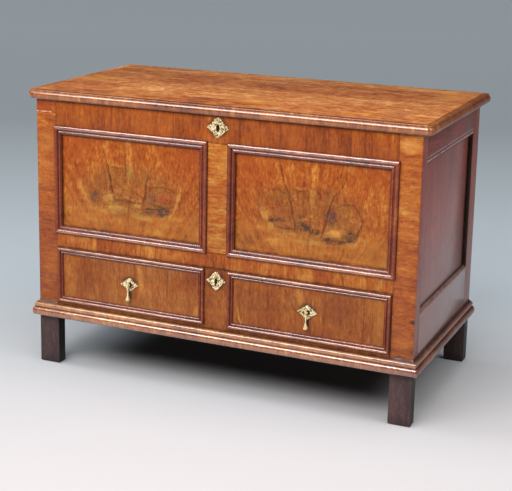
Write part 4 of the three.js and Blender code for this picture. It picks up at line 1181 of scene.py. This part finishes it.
def dress_sides():
    """Stained side frames: a scratched line over each panel, and a moulded edge under it, drawn
    with a painted highlight and a painted shade line; painted shadow by the rear post and sill.
    """
    for side, seed in (("left", 3.1), ("right", 8.4)):
        top, bottom, panel = ("rail_side_top_" + side, "rail_side_bottom_" + side,
                              "panel_side_" + side)
        rear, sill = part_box("post_rear_" + side)[0][1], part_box(bottom)[1][2]
        upper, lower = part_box(top)[0][2] + SIDE_BEVEL, sill - SIDE_BEVEL
        scratched = (
            (2, upper - 0.003, 0.006, "3a1a14", 0.8),
            (2, upper + 0.004, 0.0026, "d8b8ae", 0.8),
            (2, upper + 0.0085, 0.0024, "120806", 0.9),
            (2, upper + 0.013, 0.0024, "d8b8ae", 0.5),
        )
        # The moulded edge: a painted highlight on its bevel and a painted shade line under it.
        moulded = (
            (2, lower + 0.003, 0.0045, "b48a7a", 0.7),
            (2, lower - 0.002, 0.003, "140a08", 1),
        )
        # Painted shadow: black beside the rear post and dark along the sill; the panel's wide edge
        # darkening is painted shade too.
        shadow = (
            (1, rear, 0.03, "050302", 1.2),
            (1, rear - 0.003, 0.02, "050302", 1.2),
            (2, sill, 0.013, "0c0605", 0.8),
        )
        pieces = (
            (top, 1, scratched, {"gloss": 0.05, "shade": -0.08}),
            (bottom, 1, moulded, {"gloss": 0.6, "specular": 0.5, "grime_and_shade_reach": 0.003}),
            (panel, 2, shadow, {"gloss": 0.42, "specular": 0.42, "grime_and_shade_reach": 0.014,
                                "shade": 0.03}),
        )
        for i, (node, axis, lines, looks) in enumerate(pieces):
            dress(node, flat_wood(node + "_wood", node, axis, SIDE, seed + i, edges=(1, 2),
                                  figure=0.3, dust_and_sheen=(0.2, 0.5), polished="side", lines=lines,
                                  **looks))


def dress_lid():
    top = flat_wood("lid_wood", "lid_board", 0, TOP, 9.2, leaf=(1, 0.19, FRONT + 0.1), edges=(1,),
                    figure=0.3, gloss=0.12, specular=0.45, patches=LID_PATCHES, cloudy=0.2,
                    blotch=(30, 38, 0.55), contrast=1.1, polished="top")
    dress("lid_board", top)
    front = moulding_wood("lid_edge_wood", NOSE, 6.3, segment=0.16, gloss=1, low=0.14, ripple=0.7)
    left = moulding_wood("lid_left_wood", TOP, 5.1, segment=0.12, gloss=0.1, low=0.36)
    right = moulding_wood("lid_right_wood", NOSE, 2.3, segment=0.12, gloss=0.1, low=0.36)
    edge_runs("lid_edge_run", lid_edge_profile(), LID_CORE_HALF, LID_FRONT + LID_EDGE, LID_REAR,
              LID_BOTTOM, (front, left, right), ["lid_edge_front"] + both("lid_edge"), LID_CORNER)


def dress_drawer():
    # Dark round the drawer's plates, dirt and painted shade, and the pull drops' painted shadows.
    dress_front("drawer_wood", "drawer_front", 2, DRAWER, 11.6, 0.3, leaf=(0, 0.16, 0.4),
                shade=0.05, veins=DRAWER_VEINS, bands=DRAWER_BANDS, plates=DRAWER_PLATE_DIRT_AND_SHADE,
                stains=DRAWER_STAINS)
    dress_all(both("drawer_side"), plain_oak("drawer_side_oak", 1, 3.3))
    dress("drawer_back", plain_oak("drawer_back_oak", 0, 6.1))
    dress("drawer_bottom", plain_oak("drawer_bottom_oak", 1, 8.2, (0, 0.235, 0)))


def seen_in_front(node):
    """The middle and the half sizes of a piece as seen from the front, each (x, z)."""
    low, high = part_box(node)
    return ([(low[i] + high[i]) / 2 for i in (0, 2)], [(high[i] - low[i]) / 2 for i in (0, 2)])


def mirrored(shares, centre, half):
    """A closed outline from one quarter of it, given as shares of its half sizes."""
    quarter = [(u * half[0], v * half[1]) for u, v in shares]
    across = [(-x, z) for x, z in quarter[-2::-1]]
    upper = quarter + across
    lower = [(x, -z) for x, z in upper[-2:0:-1]]
    return [(centre[0] + x, centre[1] + z) for x, z in upper + lower]


def softened(outline):
    """Corners cut once, which turns the steps of an outline into scallops."""
    points = []
    for (x, z), (next_x, next_z) in zip(outline, outline[1:] + outline[:1]):
        for share in (SCALLOP_SHARE, 1 - SCALLOP_SHARE):
            points.append((x + (next_x - x) * share, z + (next_z - z) * share))
    return points


def keyhole(eye_z):
    """A round eye with a slot under it."""
    slot = KEY_SLOT / 2
    join = eye_z - math.sqrt(KEY_EYE ** 2 - slot ** 2)
    turn = math.asin(slot / KEY_EYE)
    sweep_angle = 2 * math.pi - 2 * turn
    around = [turn - math.pi / 2 + sweep_angle * i / 14 for i in range(15)]
    eye = [(KEY_EYE * math.cos(a), eye_z + KEY_EYE * math.sin(a)) for a in around]
    return eye + [(-slot, join - 0.001), (-slot, eye_z - KEY_DROP), (slot, eye_z - KEY_DROP)]


def circle(x, z, radius, steps):
    turns = [2 * math.pi * i / steps for i in range(steps)]
    return [(x + radius * math.cos(a), z + radius * math.sin(a)) for a in turns]


def brass_plate(node, shares, material, eye_z=None):
    """A thin plate with a scalloped outline, filed back at its edge, pierced for key or post."""
    low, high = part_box(node)
    middle, half = seen_in_front(node)
    outline = softened(mirrored(shares, middle, half))
    holes = [keyhole(eye_z) if eye_z else circle(middle[0], PULL_Z, POST_HOLE, 12)]
    reach, rise = (PIERCING_SHARE * size for size in half)
    spots = [(-reach, 0), (reach, 0)]
    if eye_z:
        spots += [(0, -rise), (0, rise)]
    holes += [circle(middle[0] + x, middle[1] + z, PIERCING, 8) for x, z in spots]
    bm = bmesh.new()
    twins, edges, walls = {}, [], []
    for loop in (outline, *holes):
        rim = []
        for x, z in loop:
            back = bm.verts.new((x, high[1], z))
            if loop is outline:
                x += (middle[0] - x) * PLATE_EDGE / half[0]
                z += (middle[1] - z) * PLATE_EDGE / half[1]
            rim.append(bm.verts.new((x, low[1], z)))
            twins[rim[-1]] = back
        pairs = list(zip(rim, rim[1:] + rim[:1]))
        edges += [bm.edges.new(pair) for pair in pairs]
        walls += pairs
    filled = bmesh.ops.triangle_fill(bm, edges=edges, use_beauty=True, normal=(0, -1, 0))
    for face in [item for item in filled["geom"] if isinstance(item, bmesh.types.BMFace)]:
        bm.faces.new([twins[vert] for vert in reversed(face.verts[:])])
    for a, b in walls:
        bm.faces.new((a, b, twins[b], twins[a]))
    finish_piece(node + "_pierced", bm, node, material)


def heads(name, node, material, out, size, places, slot=None):
    """Domed heads of pins or nails that hold one piece, all facing one way and half sunk."""
    bm = bmesh.new()
    turn = Vector(out).to_track_quat("Z", "Y").to_matrix().to_4x4()
    for place in places:
        shape = Matrix.Translation(place) @ turn @ Matrix.Diagonal((size[0], *size, 1))
        bmesh.ops.create_uvsphere(bm, u_segments=10, v_segments=6, radius=1, matrix=shape)
    finish_piece(name, bm, node, material, added=True, slot=slot)


def add_fixings(brass, iron):
    """Pins at the tips of both escutcheons, and nails in the hinges and the back boards."""
    for node in ("lid_escutcheon", "drawer_escutcheon"):
        (x, z), half = seen_in_front(node)
        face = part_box(node)[0][1]
        reach, rise = (PIN_SHARE * size for size in half)
        tips = [(x + reach, z), (x - reach, z), (x, z + rise), (x, z - rise)]
        heads(node + "_pins", node, brass, (0, -1, 0), PIN_HEAD, [(a, face, b) for a, b in tips])
    for side, x in (("left", -HINGE_X), ("right", HINGE_X)):
        heads("leaf_nails_" + side, "hinge_leaf_" + side, iron, (0, 1, 0), NAIL_HEAD,
              [(x + shift, LEAF_FACE, z) for shift, z in LEAF_NAILS])
        heads("strap_nails_" + side, "hinge_strap_" + side, iron, (0, 0, -1), NAIL_HEAD,
              [(x, y, STRAP_FACE) for y in STRAP_NAILS])
    boards = [(x, BOARD_FACE, z) for x in (-BOARD_NAIL_X, BOARD_NAIL_X) for z in BOARD_NAILS]
    heads("board_nails", "back_board_lower", iron, (0, 1, 0), NAIL_HEAD, boards,
          SLOT_OF["hinge_leaf_left"])


def dress_metal():
    brass = brass_material("old_brass")
    iron = iron_material("wrought_iron")
    add_fixings(brass, iron)
    for kind, key_z, *dirt_and_shade_spot in (("lid", LID_KEY_Z, 0.0062, 0.013),
                               ("drawer", DRAWER_KEY_Z, 0.0055, 0.0115)):
        # Dark round each keyhole: dirt and painted shade.
        dark = ((0, key_z - KEY_MIDDLE - 0.001, *dirt_and_shade_spot),)
        brass_plate(kind + "_escutcheon", ESCUTCHEON_SHARES,
                    brass_material(kind + "_plate_brass", True, dark), key_z)
    # Dark beside each pull post: dirt, and the post's painted shadow.
    dark = [(x + 0.003, PULL_Z, 0.0065, 0.0085) for x in (-PULL_X, PULL_X)]
    pull_brass = brass_material("pull_plate_brass", True, dark)
    for node in both("pull_plate"):
        brass_plate(node, PULL_SHARES, pull_brass)
    dress_all(both("pull_post") + both("pull_drop"), brass, 0)
    dress_all(both("hinge_leaf") + both("hinge_strap") + both("hinge_pin")
              + ["lid_hasp_plate", "lid_lock_case", "lid_lock_bolt", "drawer_lock_case",
                 "drawer_lock_bolt"], iron, 0)


add_camera()
add_world()
floor = add_floor()
add_light("key", (-0.8, -3.4, 3.75), (0, 0, 0.4), (4.4, 2.3), 345)
add_light("right", (3.3, -0.6, 3.2), (0.3, 0, 0.3), (2.0, 2.0), 60)
add_sky_light("overhead", 0.9)
add_sky_light("floor_right", 3.5, (14, 16), colour=(0.96, 0.99, 1), receiver=floor)
add_sky_light("floor_left", 1.7, (6, -47), 26, (0.84, 0.93, 1), floor)
dress_carcase()
dress_lid()
dress_drawer()
dress_metal()
